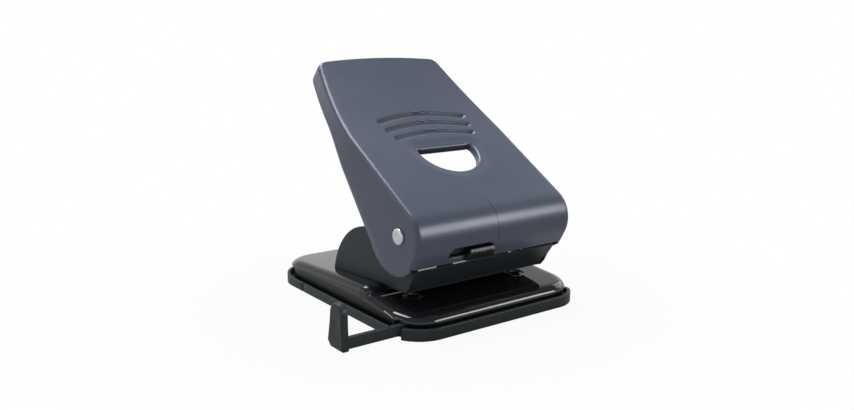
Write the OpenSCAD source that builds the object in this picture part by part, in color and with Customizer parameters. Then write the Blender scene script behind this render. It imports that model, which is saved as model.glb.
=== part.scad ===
// Manual two-hole lever punch. +X right, -Y is the front where paper enters, +Z up.
// Origin: centre of the tray's footprint on the desk. Lengths in mm.

/* [Deck] */
// Deck width over its skirt
deck_w = 130; // [120:1:150]
// Deck depth over its skirt
deck_d = 150; // [140:1:165]
// Deck corner radius in plan
deck_corner = 20; // [16:1:22]
// Height of the paper table at the foot of the step
table_z = 16; // [16:0.2:17]
// Fall of the paper table towards the front, in degrees
table_fall = 2.2; // [0:0.1:2.2]
// Height of the rear plateau's crest above the paper table
step_h = 4.5; // [4:0.1:4.5]
// Fall of the plateau towards the rear, in degrees
fall = 3.3; // [0:0.1:3.6]
// Deck sheet thickness
sheet = 2; // [1.5:0.1:2]

/* [Tray] */
// How far the tray stands out at each side of the deck
tray_side = 2.6; // [2.4:0.1:4]
// How far the tray stands out at the front and the rear of the deck
tray_end = 3; // [2.6:0.1:4]
// Tray rim height
rim_z = 7.2; // [6:0.1:7.5]
// Tray floor thickness
floor_t = 1.6; // [1.2:0.1:1.8]

/* [Punching] */
// Distance between the two holes
hole_pitch = 80; // [70:1:80]
// Punched hole diameter
pin_d = 6; // [5:0.5:6.5]
// Gap between the table and the frame, for the paper
paper_gap = 5; // [4.9:0.1:6]
// Lever swing from rest to closed
lever_swing = 40; // [30:1:40]
// Distance from the pivot to the cam nose
cam_reach = 12; // [11:0.5:12.5]

/* [Lever] */
// Lever width at the pivot
lever_w = 116; // [114:1:120]
// Lever width at the tip
tip_w = 93; // [84:1:100]
// Lever sheet thickness
skin = 1.5; // [1.2:0.1:1.8]
// Slope of the straight top
top_slope = 30.4; // [28:0.2:32]
// Slope of the top at the tip
tip_slope = 42.8; // [36:0.2:46]
// Width of the grip grooves
groove_w = 5; // [3:0.5:6]
// Radius of the window's round end
window_r = 21; // [16:1:23]

/* [Lock] */
// Travel of the lock slider
lock_travel = 13.5; // [13:0.1:14]

/* [Guide] */
// Length of the guide bar
bar_len = 132; // [110:1:135]
// Height of the guide's upright stop
stop_h = 24.6; // [20:0.2:40]

/* [Hidden] */
eps = 0.02;
run = 0.05;
air = 0.3;

// pivot of the lever, and the axle through it
pivot_y = -54.7;
pivot_z = 55.5;
axle_r = 3.5;
head_r = 4.8;
head_t = 1.6;

// heights through the punch, from the table up
plateau_z = table_z + step_h;
web_z = table_z + paper_gap;
web_t = 2;
web_top = web_z + web_t;
nose_r = 4;
cam_rise = cam_reach * sin(lever_swing / 2);
pin_top = pivot_z + cam_rise - nose_r - 0.08;
pin_tip = web_z + 0.4;
pin_r = pin_d / 2;
pin_x = hole_pitch / 2;
pin_y = pivot_y + cam_reach * (1 + cos(lever_swing / 2)) / 2 + 0.06;
pin_head_r = pin_r + 1;
pin_head_t = 2;
guide_z = 42.5;
guide_t = 2;
guide_w = 17;
clip_t = 1;
clip_top = guide_z - 0.1;
clip_z = clip_top - clip_t;
seat_t = 1;
seat_z = clip_z - seat_t;
groove_r = pin_r - 0.6;
seat_r = pin_r + 2.5;

// frame
cheek_in = 51;
cheek_t = 2;
cheek_out = cheek_in + cheek_t;
boss_r = 14;
apron_t = 2;
foot_front = -23.4;
foot_rear = 24;
foot_t = 2;
foot_in = 41;
rivet_x = (foot_in + cheek_in) / 2;
rivet_y = [-17, 14];
rivet_r = 2;

// lever: distances from the pivot to the straight top and to the flat front panel
top_off = 16.5;
panel_off = 18.7;
panel_dir = 209.2;
fold_r = 3.5;
flange_min = 11;
nose_arc = 18;
arc_len = 71.5;
tip_r = 3.5;
tip_bow = 3;
straight_len = 66;
panel_end = 9.4;
rear_a = [pivot_y + 30, pivot_z - 8.5];
rear_slope = 51.6;
end_c = [pivot_y + 6, pivot_z + 1];
end_r = 25.4;
ear_t = 6;
window_x = 2.8;
groove_x = 2.5;

// lock
slot_l = -36.2;
slot_r = 0.4;
slot_t0 = -0.6;
slot_t1 = 6.8;
plate_r0 = 14.9;
plate_r1 = 16.5;
ledge_w = 10.5;
ledge_x = slot_l + 0.7;
ledge_t = 1.5;
ledge_z = pivot_z - 1.6;
riser_y = pivot_y - 5.9;

// guide
bar_y = 11 - deck_d / 2;
bar_t = 3;
bar_z = floor_t + 0.4;
bar_h = 6.5;
stop_x = -102;
stop_t = 4.5;
chan_x0 = 14 - deck_w / 2;
chan_x1 = 20;
chan_t = 1.5;
click_x = -40;

// flap
cut_y = deck_d / 2 - 34.5;
cut_gap = 0.3;
wall_t = 2;

// tray, from the deck that it carries
tray_w = deck_w + 2 * tray_side;
tray_d = deck_d + 2 * tray_end;
tray_corner = deck_corner + 1.5;
ring_w = deck_w - 1;
ring_d = deck_d - 1;
ring_t = 4.5;
lip_in = 3.5;
lip_t = 2.5;

$fn = 48;

// ---------- shared shapes ----------

function dir(a) = [cos(a), sin(a)];
pivot = [pivot_y, pivot_z];
u_dir = dir(top_slope);
v_dir = dir(top_slope + 90);
n_dir = dir(panel_dir);
t_dir = dir(panel_dir + 90);

// turns a drawing in (Y, Z) into a slab that spans x0 to x1
module slab(x0, x1) {
  translate([x0, 0, 0])
    rotate([90, 0, 90])
      linear_extrude(height = x1 - x0)
        children();
}

// a cylinder along X through (y, z)
module rod(y, z, r, x0, x1, n = 48) {
  translate([x0, y, z])
    rotate([0, 90, 0])
      cylinder(r = r, h = x1 - x0, $fn = n);
}

// a bar of thickness t between two points of a drawing, with round ends
module strip(a, b, t) {
  d = b - a;
  translate(a)
    rotate(atan2(d[1], d[0]))
      translate([0, -t / 2])
        square([norm(d), t]);
}

module rect(w, d, r) {
  union() {
    square([w - 2 * r, d], center = true);
    square([w, d - 2 * r], center = true);
    for (sx = [-1, 1])
      for (sy = [-1, 1])
        translate([sx * (w / 2 - r), sy * (d / 2 - r)])
          circle(r = r, $fn = 64);
  }
}

// ---------- deck ----------

// one rounded corner post: plan radius r, from z0 up to z1, its top edge rounded by e across and h down
module post(x, y, r, z0, z1, e, h) {
  translate([x, y, 0])
    rotate_extrude($fn = 40)
      polygon([[0, z0], [r, z0], [r, z1 - h], [r - 0.134 * e, z1 - h / 2],
        [r - e / 2, z1 - 0.134 * h], [r - e, z1], [0, z1]]);
}

// a pressed slab with rounded corners between y0 and y1: front corners rf, z1 and rear corners rr, z2
module pressed(w, y0, y1, rf, rr, z0, z1, z2, e, h) {
  hull() {
    for (s = [-1, 1]) {
      post(s * (w / 2 - rf), y0 + rf, rf, z0, z1, e, h);
      post(s * (w / 2 - rr), y1 - rr, rr, z0, z2, e, h);
    }
  }
}

skirt_z = 10;
step_y = -30;
edge_r = 6;
edge_h = 4.4;
inner_r = edge_r - sheet;
inner_h = edge_h - sheet;
crest_y = step_y + edge_r + 0.4;
low_z = plateau_z - tan(fall) * (deck_d / 2 - edge_r - crest_y);

// height of the plateau's top, which falls from its crest to the rear
function deck_top(y) = plateau_z - tan(fall) * (y - crest_y);

// height of the paper table, which falls from the step to the front
function table_at(y) = table_z - tan(table_fall) * (step_y - y);
table_y1 = step_y + 40;

module base_plate() {
  inner = deck_corner - sheet;
  color([0.06, 0.06, 0.07])
    difference() {
      union() {
        difference() {
          union() {
            pressed(deck_w, -deck_d / 2, table_y1, deck_corner, edge_r + 0.2, skirt_z,
              table_at(edge_r - deck_d / 2), table_at(table_y1 - edge_r), edge_r, edge_h);
            pressed(deck_w, step_y, deck_d / 2, edge_r + 0.2, deck_corner, skirt_z, plateau_z,
              low_z, edge_r, edge_h);
          }
          pressed(deck_w - 2 * sheet, -deck_d / 2 + sheet, table_y1 - sheet, inner, inner_r + 0.2,
            skirt_z - 5, table_at(edge_r - deck_d / 2) - sheet, table_at(table_y1 - edge_r) - sheet,
            inner_r, inner_h);
          pressed(deck_w - 2 * sheet, step_y + sheet, deck_d / 2 - sheet, inner_r + 0.2, inner,
            skirt_z - 5, plateau_z - sheet, low_z - sheet, inner_r, inner_h);
        }
        for (s = [-1, 1])
          translate([s * pin_x, pin_y, table_at(pin_y) - sheet - 1.5])
            cylinder(r = pin_r + 3, h = 2.2);
      }
      for (s = [-1, 1]) {
        translate([s * pin_x, pin_y, 0])
          cylinder(r = pin_r + 0.08, h = 30, $fn = 64);
        translate([s * pin_x, pin_y, table_at(pin_y) - 0.4])
          difference() {
            cylinder(r = pin_r + 2.2, h = 1);
            translate([0, 0, -0.5])
              cylinder(r = pin_r + 1.4, h = 2);
          }
        for (y = rivet_y)
          translate([s * rivet_x, y, deck_top(y)])
            rotate([-fall, 0, 0])
              cylinder(r = rivet_r + run, h = 20, center = true);
      }
    }
}

// ---------- tray ----------

module tray_rim(w, d, r, t, z0, z1) {
  translate([0, 0, z0])
    linear_extrude(height = z1 - z0)
      difference() {
        rect(w, d, r);
        rect(w - 2 * t, d - 2 * t, r - t);
      }
}

notch_y0 = bar_y - 3;
notch_y1 = bar_y + 6;

module chip_tray() {
  front = cut_y - cut_gap / 2;
  color([0.13, 0.14, 0.15])
    union() {
      difference() {
        intersection() {
          union() {
            linear_extrude(height = floor_t)
              rect(tray_w, tray_d, tray_corner);
            tray_rim(tray_w, tray_d, tray_corner, wall_t, floor_t - eps, rim_z);
          }
          translate([-tray_w, -tray_d, -1])
            cube([2 * tray_w, tray_d + front, 30]);
        }
        translate([-tray_w, notch_y0, floor_t])
          cube([tray_w + chan_x0, notch_y1 - notch_y0, 20]);
      }
      difference() {
        union() {
          tray_rim(ring_w, ring_d, deck_corner, ring_t, floor_t + 1.4, skirt_z);
          tray_rim(deck_w - 2 * lip_in, deck_d - 2 * lip_in, deck_corner - lip_in, lip_t,
            floor_t + 1.4, skirt_z + 1.5);
          // below the front part the ring stands on the floor
          intersection() {
            tray_rim(ring_w, ring_d, deck_corner, ring_t, floor_t - eps, floor_t + 2);
            translate([-tray_w, -tray_d, -1])
              cube([2 * tray_w, tray_d + front, 30]);
          }
        }
        translate([-tray_w, notch_y0, floor_t])
          cube([tray_w + chan_x0, notch_y1 - notch_y0, 20]);
        // window in the rear of the ring for the flap's snap
        translate([-9, ring_d / 2 - 1.5, -1])
          cube([18, 10, rim_z - 1]);
      }
    }
}

module chip_flap() {
  rear = cut_y + cut_gap / 2;
  color([0.13, 0.14, 0.15])
    union() {
      intersection() {
        union() {
          linear_extrude(height = floor_t)
            rect(tray_w, tray_d, tray_corner);
          tray_rim(tray_w, tray_d, tray_corner, wall_t, floor_t - eps, rim_z);
        }
        translate([-tray_w, rear, -1])
          cube([2 * tray_w, tray_d, 30]);
      }
      // snap tab that stands behind the ring
      translate([-8, tray_d / 2 - wall_t - 1, floor_t - eps])
        cube([16, 1 + eps, 3]);
      // ribs that stiffen the floor
      for (x = [-30, 30])
        translate([x - 0.75, rear + 2, floor_t - eps])
          cube([1.5, 16, 1]);
    }
}

// ---------- paper guide ----------

module guide_channel() {
  y0 = bar_y - bar_t / 2 - air;
  y1 = bar_y + bar_t / 2 + air;
  top = bar_z + bar_h + air;
  color([0.16, 0.16, 0.17])
    difference() {
      translate([chan_x0, y0 - chan_t, floor_t])
        cube([chan_x1 - chan_x0, y1 - y0 + 2 * chan_t, top + 1.4 - floor_t]);
      translate([chan_x0 - 1, y0, floor_t - 1])
        cube([chan_x1 - chan_x0 + 2, y1 - y0, top - floor_t + 1]);
      translate([click_x - 7, y1 - 1, bar_z])
        cube([14, 5, bar_h - 1]);
    }
}

module guide_click_spring() {
  y = bar_y + bar_t / 2 + air + chan_t;
  z = floor_t + 1.2;
  h = 4.6;
  color([0.6, 0.6, 0.62])
    union() {
      for (s = [-1, 1]) {
        translate([click_x + (s > 0 ? 5.6 : -16), y, z])
          cube([10.4, 0.5, h]);
        translate([click_x + s * 6, y, z])
          rotate([0, 0, s * 14])
            translate([s > 0 ? -6 : 0, 0, 0])
              cube([6, 0.5, h]);
      }
      translate([click_x, bar_y + bar_t / 2 + 1.1, z])
        cylinder(r = 1, h = h);
    }
}

module paper_guide() {
  x1 = stop_x + bar_len;
  foot = bar_y - bar_t / 2;
  color([0.05, 0.05, 0.055])
    difference() {
      union() {
        translate([stop_x + eps, foot, bar_z])
          cube([x1 - stop_x - eps, bar_t, bar_h]);
        translate([stop_x, 0, 0])
          slab(0, stop_t)
            union() {
              polygon([[foot, bar_z - 1.2], [foot + 12.4, bar_z - 1.2], [foot + 15.2, bar_z + 1.6],
                [foot + 12.4, bar_z + stop_h - 6], [foot + 0.6, bar_z + stop_h - 6]]);
              translate([foot + 6.5, bar_z + stop_h - 6])
                circle(r = 5.9, $fn = 64);
            }
      }
      // scale ticks on the front face and click notches on the back face
      for (x = [stop_x + 12 : 5 : x1 - 6]) {
        translate([x - 0.2, foot - 0.5, bar_z + 3])
          cube([0.4, 0.75, bar_h]);
        translate([x - 0.6, foot + bar_t - 0.3, bar_z + 0.6])
          cube([1.2, 1, bar_h - 1.2]);
      }
      // shallow finger face on the stop
      translate([stop_x - 1, foot + 6.8, bar_z + stop_h - 8])
        rotate([0, 90, 0])
          cylinder(r = 4, h = 1.4);
    }
}

// ---------- frame ----------

apron_a = [pivot_y + 1.5, web_z + 1];
apron_b = [pivot_y - 7, web_z + 13];

module cheek_drawing() {
  union() {
    intersection() {
      translate([pivot_y + 38, 10])
        circle(r = 43.5, $fn = 96);
      polygon([[foot_front - 20, deck_top(foot_front - 20)], [40, deck_top(40)], [40, 80],
        [foot_front - 20, 80]]);
    }
    polygon([[foot_front, deck_top(foot_front)], [foot_front - 3, web_z - 0.2], [pivot_y + 1, web_z],
      [pivot_y - 8.4, web_z + 18], [pivot_y - boss_r + 0.1, pivot_z], [pivot_y, pivot_z + 10],
      [pivot_y + 11, pivot_z + 8.4], [-24, 52.9], [-20, deck_top(-20)]]);
    translate(pivot)
      circle(r = boss_r, $fn = 64);
  }
}

module punch_frame() {
  color([0.1, 0.105, 0.12])
    difference() {
      union() {
        for (s = [-1, 1]) {
          slab(s > 0 ? cheek_in : -cheek_out, s > 0 ? cheek_out : -cheek_in)
            cheek_drawing();
          slab(s > 0 ? foot_in : -cheek_in - eps, s > 0 ? cheek_in + eps : -foot_in)
            polygon([[foot_front, deck_top(foot_front)], [foot_rear, deck_top(foot_rear)],
              [foot_rear, deck_top(foot_rear) + foot_t], [foot_front, deck_top(foot_front) + foot_t]]);
        }
        translate([-cheek_in - eps, pivot_y + 1, web_z])
          cube([2 * cheek_in + 2 * eps, 27, web_t]);
        slab(-cheek_in - eps, cheek_in + eps)
          strip(apron_a, apron_b, apron_t);
      }
      rod(pivot_y, pivot_z, axle_r + run, -cheek_out - 1, cheek_out + 1);
      for (s = [-1, 1]) {
        translate([s * pin_x, pin_y, web_z - 1])
          cylinder(r = pin_r + run, h = web_t + 2, $fn = 64);
        for (y = rivet_y)
          translate([s * rivet_x, y, deck_top(y)])
            rotate([-fall, 0, 0])
              cylinder(r = rivet_r + run, h = 3 * foot_t, center = true);
        rod(pin_y, guide_z - 3.5, 1.5 + run, s * (cheek_in + 1) - 3, s * (cheek_in + 1) + 3);
      }
    }
}

module upper_guide_plate() {
  color([0.55, 0.56, 0.58])
    difference() {
      union() {
        translate([-cheek_in, pivot_y + 3, guide_z])
          cube([2 * cheek_in, guide_w, guide_t]);
        for (s = [-1, 1])
          translate([s > 0 ? cheek_in - 2 : -cheek_in, pin_y - 5, guide_z - 7])
            cube([2, 10, 7 + eps]);
      }
      for (s = [-1, 1]) {
        translate([s * pin_x, pin_y, guide_z - 1])
          cylinder(r = pin_r + run, h = guide_t + 2, $fn = 64);
        rod(pin_y, guide_z - 3.5, 1.5 + run, s * (cheek_in - 1) - 3, s * (cheek_in - 1) + 3);
      }
    }
}

module guide_plate_rivets() {
  color([0.7, 0.7, 0.72])
    for (s = [-1, 1])
      union() {
        rod(pin_y, guide_z - 3.5, 1.5, s * cheek_in - 3, s * cheek_in + 3);
        rod(pin_y, guide_z - 3.5, 2.6, s > 0 ? cheek_in - 3 : -cheek_out - 1,
          s > 0 ? cheek_in - 2 : -cheek_out);
        rod(pin_y, guide_z - 3.5, 2.6, s > 0 ? cheek_out : -cheek_in + 2,
          s > 0 ? cheek_out + 1 : -cheek_in + 3);
      }
}

module frame_rivets() {
  color([0.7, 0.7, 0.72])
    for (s = [-1, 1])
      for (y = rivet_y)
        translate([s * rivet_x, y, deck_top(y)])
          rotate([-fall, 0, 0])
            rotate_extrude()
              polygon([[0, -sheet - 1.2], [3.4, -sheet - 1.2], [3.4, -sheet], [rivet_r, -sheet],
                [rivet_r, foot_t], [3.4, foot_t], [3, foot_t + 0.8], [1.8, foot_t + 1.4],
                [0, foot_t + 1.6]]);
}

module lock_catch() {
  a_dir = (apron_b - apron_a) / norm(apron_b - apron_a);
  off = [a_dir[1], -a_dir[0]] * (apron_t / 2 + ledge_t / 2);
  foot_c = web_top + ledge_t / 2;
  base = apron_a + off;
  p2 = base + a_dir * ((foot_c - base[1]) / a_dir[1]);
  p3 = base + a_dir * ((riser_y - base[0]) / a_dir[0]);
  p4 = [riser_y, ledge_z];
  color([0.62, 0.63, 0.65])
    slab(ledge_x, ledge_x + ledge_w)
      union() {
        strip([pivot_y + 5.4, foot_c], p2, ledge_t);
        strip(p2, p3, ledge_t);
        strip(p3, p4, ledge_t);
        strip(p4, [riser_y - 6.7, ledge_z], ledge_t);
        for (p = [p2, p3, p4])
          translate(p)
            circle(r = ledge_t / 2, $fn = 24);
      }
}

flange_in = lever_w / 2 - skin;

module pivot_axle() {
  color([0.8, 0.8, 0.8])
    union() {
      rod(pivot_y, pivot_z, axle_r, -lever_w / 2 - 1, lever_w / 2 + 1, 64);
      for (s = [-1, 1])
        translate([s * (lever_w / 2 + run), pivot_y, pivot_z])
          rotate([0, s * 90, 0])
            rotate_extrude($fn = 64)
              polygon([[0, 0], [head_r, 0], [head_r, head_t - 0.6], [head_r - 0.6, head_t - 0.1],
                [head_r - 1.8, head_t + 0.15], [0, head_t + 0.3]]);
    }
}

module axle_spacer(s) {
  a = cheek_out + run;
  b = flange_in - run;
  color([0.7, 0.7, 0.72])
    difference() {
      rod(pivot_y, pivot_z, axle_r + 3, s > 0 ? a : -b, s > 0 ? b : -a);
      rod(pivot_y, pivot_z, axle_r + run, s > 0 ? a - 1 : -b - 1, s > 0 ? b + 1 : -a + 1);
    }
}

module axle_spacer_left() {
  axle_spacer(-1);
}

module axle_spacer_right() {
  axle_spacer(1);
}

// ---------- lever shell ----------

// nose arc centre: tangent to the straight top and to the flat front panel
nose_a = top_off - nose_arc;
nose_b = panel_off - nose_arc;
nose_det = v_dir[0] * n_dir[1] - v_dir[1] * n_dir[0];
nose_c = pivot + [nose_a * n_dir[1] - nose_b * v_dir[1], nose_b * v_dir[0] - nose_a * n_dir[0]] / nose_det;
nose_u = (nose_c - pivot) * u_dir;
nose_t = (nose_c - pivot) * t_dir;
arc_r = arc_len / ((tip_slope - top_slope) * PI / 180);
arc_c = pivot + u_dir * straight_len + v_dir * (top_off + arc_r);
rear_n = [sin(rear_slope), -cos(rear_slope)];

function width_at(s) = lever_w - (lever_w - tip_w) * pow(max(0, 1 - s / arc_len), 1.5)
  - (s < tip_r ? 2 * (tip_r - sqrt(max(0, tip_r * tip_r - (tip_r - s) * (tip_r - s)))) : 0);
function dist_q(p, inward) = max(flange_min, -((p - rear_a) * rear_n) / (inward * rear_n));
function bow_at(s) = tip_bow * pow(max(0, 1 - s / 14), 2);

// stations: [point, inward direction, half width, flange end, push of the middle past the sides]
tip_s = [0, 0.35, 1.3, 3, 5, 8, 12, 20, 28, 36, 44, 52, 60, 68];
arc_st = [for (s = tip_s)
  let (a = tip_slope - (tip_slope - top_slope) * s / arc_len,
    p = arc_c + dir(a - 90) * arc_r,
    inward = dir(a - 90),
    d = s < 5 ? flange_min - 2 + s * 0.4 : dist_q(p, inward))
  [p, inward, width_at(s) / 2, p + inward * d, dir(a) * bow_at(s)]];
u_end = (rear_a - pivot) * u_dir;
flat_u = [straight_len, 54, 42, 31, u_end];
flat_st = [for (u = flat_u)
  let (p = pivot + u_dir * u + v_dir * top_off)
  [p, -v_dir, lever_w / 2, u == u_end ? rear_a : p - v_dir * dist_q(p, -v_dir), [0, 0]]];
end_a0 = atan2(rear_a[1] - end_c[1], rear_a[0] - end_c[0]);
end_a1 = -114;
end_a2 = -127.5;
low_u = [14, 6, nose_u];
low_a = [for (k = [1 : 9]) top_slope + 90 + (panel_dir - top_slope - 90) * k / 9];
low_t = [4, 7, panel_end];
low_n = 3 + 9 + 3;
low_p = concat(
  [for (u = low_u) [pivot + u_dir * u + v_dir * top_off, -v_dir]],
  [for (a = low_a) [nose_c + dir(a) * nose_arc, -dir(a)]],
  [for (t = low_t) [pivot + n_dir * panel_off + t_dir * t, -n_dir]]);
low_st = [for (k = [0 : low_n - 1])
  let (a = k == low_n - 1 ? end_a2 : end_a0 + (end_a1 - end_a0) * (k + 1) / (low_n - 1))
  [low_p[k][0], low_p[k][1], lever_w / 2, end_c + dir(a) * end_r, [0, 0]]];
stations = concat(arc_st, flat_st, low_st);
ns = len(stations);

fold_a = [90, 67.5, 45, 22.5, 0];
top_k = [0.8, 0.6, 0.4, 0.2];

// half a section, from the flange's free edge to the middle of the top, at offset t from the outside
function pushed(st, x, d) = let (q = st[0] + st[1] * d + st[4] * max(0, 1 - pow(2 * x / tip_w, 2)))
  [x, q[0], q[1]];
function half_sec(st, t) = concat(
  [[st[2] - t, st[3][0], st[3][1]]],
  [for (a = fold_a) pushed(st, st[2] - fold_r + (fold_r - t) * sin(a), fold_r - (fold_r - t) * cos(a))],
  [for (k = top_k) pushed(st, (st[2] - fold_r) * k, t)]);
function flip(pts) = [for (k = [len(pts) - 1 : -1 : 0]) [-pts[k][0], pts[k][1], pts[k][2]]];
function ring(st) = concat(half_sec(st, 0), flip(half_sec(st, 0)), half_sec_back(st));
function half_sec_back(st) = let (h = half_sec(st, skin), r = flip(h))
  concat([for (k = [len(r) - 1 : -1 : 0]) r[k]], [for (k = [len(h) - 1 : -1 : 0]) h[k]]);

module lever_sheet() {
  n = 40;
  pts = [for (st = stations) each ring(st)];
  sides = [for (i = [0 : ns - 2]) for (j = [0 : n - 1])
    let (a = i * n + j, b = i * n + (j + 1) % n, c = a + n, d = b + n)
    each [[a, d, b], [a, c, d]]];
  cap0 = [for (j = [0 : n / 2 - 2]) each [[j, n - 2 - j, n - 1 - j], [j, j + 1, n - 2 - j]]];
  cap1 = [for (f = cap0) [f[0] + (ns - 1) * n, f[2] + (ns - 1) * n, f[1] + (ns - 1) * n]];
  polyhedron(points = pts, faces = concat(sides, cap0, cap1), convexity = 8);
}

// moves a drawing-plane shape onto the straight top: its X stays, its Y runs up the handle, its Z is outward
module on_top() {
  translate([0, pivot_y, pivot_z])
    rotate([top_slope, 0, 0])
      children();
}

// the same for the flat front panel: Y runs down the panel, Z is outward
module on_panel() {
  translate([0, pivot_y, pivot_z])
    rotate([panel_dir - 90, 0, 0])
      mirror([0, 1, 0])
        children();
}

window_u = 49.2;
window_cut = 54.4;

module window_drawing(grow) {
  offset(r = 3 + grow, $fn = 32)
    offset(delta = -3)
      intersection() {
        translate([window_x, window_u])
          circle(r = window_r, $fn = 72);
        translate([-40, window_cut - 60])
          square([80, 60]);
      }
}

groove_s = [53.5, 62.5, 71.3];
groove_half = [32, 31, 29];

// a round bead along a bowed arc across the handle, at distance s from the tip
module bead(k, r, lift) {
  s = groove_s[k];
  a = tip_slope - (tip_slope - top_slope) * s / arc_len;
  p = arc_c + dir(a - 90) * arc_r;
  bow = 100;
  half = asin(groove_half[k] / bow);
  translate([groove_x, p[0], p[1]])
    rotate([a, 0, 0])
      translate([0, -bow + 2.5, lift])
        rotate([0, 0, 90 - half])
          rotate_extrude(angle = 2 * half, $fn = 96)
            translate([bow, 0])
              circle(r = r, $fn = 16);
}

module lever_shell() {
  bead_r = 4.5;
  sink = sqrt(bead_r * bead_r - groove_w * groove_w / 4);
  color([0.33, 0.35, 0.42])
    difference() {
      union() {
        lever_sheet();
        on_top()
          translate([0, 0, top_off - 6])
            linear_extrude(height = 6 - skin / 2)
              window_drawing(skin);
      }
      on_top()
        translate([0, 0, top_off - 10])
          linear_extrude(height = 20)
            window_drawing(0);
      on_top()
        translate([0, 0, top_off - 0.6])
          linear_extrude(height = 5)
            window_drawing(5.5);
      for (k = [0 : 2])
        bead(k, bead_r, sink);
      rod(pivot_y, pivot_z, axle_r + run, -lever_w, lever_w, 64);
      on_panel()
        translate([0, 0, panel_off - 6])
          linear_extrude(height = 10)
            polygon([[slot_l, slot_t1], [slot_l, slot_t0 + 1.2], [slot_l + 1.2, slot_t0],
              [slot_r, slot_t0], [slot_r, slot_t1]]);
    }
}

// ---------- lever bracket ----------

// one ear in (Y, Z) round the pivot: boss, cam arm with its nose, and the arm up to the plate
module ear_drawing() {
  union() {
    circle(r = axle_r + 3.7, $fn = 64);
    rotate(lever_swing / 2) {
      translate([cam_reach, 0])
        circle(r = nose_r, $fn = 64);
      // the arm's lower side stays clear of the pin's head
      polygon([[2, -2.2], [7.6, -2.2], [cam_reach - 1.5, -3.3], [cam_reach, nose_r - 0.5],
        [2, nose_r - 0.5]]);
    }
    rotate(top_slope)
      translate([0.6, 2])
        square([9, top_off - skin - 3]);
  }
}

module lever_bracket() {
  color([0.5, 0.51, 0.53])
    difference() {
      union() {
        on_top()
          translate([-pin_x - ear_t / 2 - 1, 0, top_off - skin - 2])
            cube([2 * pin_x + ear_t + 2, 16, 2]);
        for (s = [-1, 1])
          translate([0, pivot_y, pivot_z])
            slab(s * pin_x - ear_t / 2, s * pin_x + ear_t / 2)
              ear_drawing();
      }
      rod(pivot_y, pivot_z, axle_r + run, -lever_w, lever_w, 64);
    }
}

// ---------- lock ----------

knob_w = 22.6;
slider_len = 52;
slider_h = 10.8;
keeper_len = 50;
keeper_h = 12.8;
knob_x1 = slot_r - 0.3;
tongue_x = ledge_x + lock_travel;

module lock_slider() {
  k0 = knob_x1 - knob_w;
  color([0.045, 0.045, 0.05])
    union() {
      on_panel() {
        translate([k0 - 14.5, slot_t0 - 1.8, plate_r0])
          cube([slider_len, slider_h, plate_r1 - plate_r0]);
        translate([0, 0, plate_r1 - eps])
          linear_extrude(height = 1.6 + panel_off - plate_r1)
            polygon([[k0, slot_t1 - 0.3], [k0, slot_t0 + 1.7], [k0 + 1.4, slot_t0 + 0.3],
              [knob_x1, slot_t0 + 0.3], [knob_x1, slot_t1 - 0.3]]);
        translate([0, 0, panel_off + 1.6 - eps])
          linear_extrude(height = 1.2)
            polygon([[k0 + 0.8, slot_t1 - 0.9], [k0 + 0.8, slot_t0 + 2], [k0 + 1.8, slot_t0 + 1],
              [knob_x1 - 0.8, slot_t0 + 1], [knob_x1 - 0.8, slot_t1 - 0.9]]);
      }
      translate([0, pivot_y, pivot_z])
        rotate([lever_swing, 0, 0])
          translate([tongue_x, -15.6, ledge_z + ledge_t / 2 + air - pivot_z])
            cube([ledge_w - 0.5, 5.8, 2]);
    }
}

module lock_keeper() {
  r0 = plate_r0 - 0.1 - 1.5;
  color([0.6, 0.61, 0.63])
    on_panel()
      difference() {
        union() {
          translate([-44, slot_t0 - 3.8, r0])
            cube([keeper_len, keeper_h, 1.5]);
          translate([-44, slot_t0 - 3.8, r0])
            cube([keeper_len, 1.6, 16.1 - r0]);
        }
        translate([-37.4, slot_t0 - 2, r0 - 1])
          cube([29, 20, 4]);
      }
}

// ---------- punch pins ----------

module punch_pin(s) {
  color([0.78, 0.78, 0.8])
    translate([s * pin_x, pin_y, 0])
      difference() {
        union() {
          translate([0, 0, pin_tip])
            cylinder(r = pin_r, h = clip_z - pin_tip, $fn = 64);
          translate([0, 0, clip_z - eps])
            cylinder(r = groove_r, h = clip_t + 2 * eps);
          translate([0, 0, clip_top])
            cylinder(r = pin_r, h = pin_top - pin_head_t - clip_top + eps, $fn = 64);
          translate([0, 0, pin_top - pin_head_t])
            cylinder(r = pin_head_r, h = pin_head_t);
        }
        // hollow tip, so that two points cut first
        translate([0, 0, pin_tip - 3.6])
          rotate([90, 0, 0])
            cylinder(r = 4.4, h = 20, center = true);
      }
}

module punch_pin_left() {
  punch_pin(-1);
}

module punch_pin_right() {
  punch_pin(1);
}

module pin_clip(s) {
  color([0.35, 0.35, 0.36])
    translate([s * pin_x, pin_y, clip_z])
      difference() {
        cylinder(r = seat_r - 0.5, h = clip_t - 0.02);
        translate([0, 0, -1])
          cylinder(r = groove_r + run, h = 3);
        translate([-groove_r * 0.8, -10, -1])
          cube([groove_r * 1.6, 10, 3]);
      }
}

module pin_clip_left() {
  pin_clip(-1);
}

module pin_clip_right() {
  pin_clip(1);
}

module spring_seat(s) {
  color([0.7, 0.7, 0.72])
    translate([s * pin_x, pin_y, seat_z])
      difference() {
        cylinder(r = seat_r, h = seat_t - 0.02);
        translate([0, 0, -1])
          cylinder(r = pin_r + run, h = 3, $fn = 64);
      }
}

module spring_seat_left() {
  spring_seat(-1);
}

module spring_seat_right() {
  spring_seat(1);
}

// ---------- return springs ----------

wire_r = 0.45;
coil_r = pin_r + 1.25;
turns = 7;
end_pitch = 1.4;
spring_lo = web_top + wire_r + 0.1;
spring_hi = seat_z - wire_r - 0.1;
mid_pitch = (spring_hi - spring_lo - 2 * end_pitch) / (turns - 2);
per_turn = 8;
rings = turns * per_turn;

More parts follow.
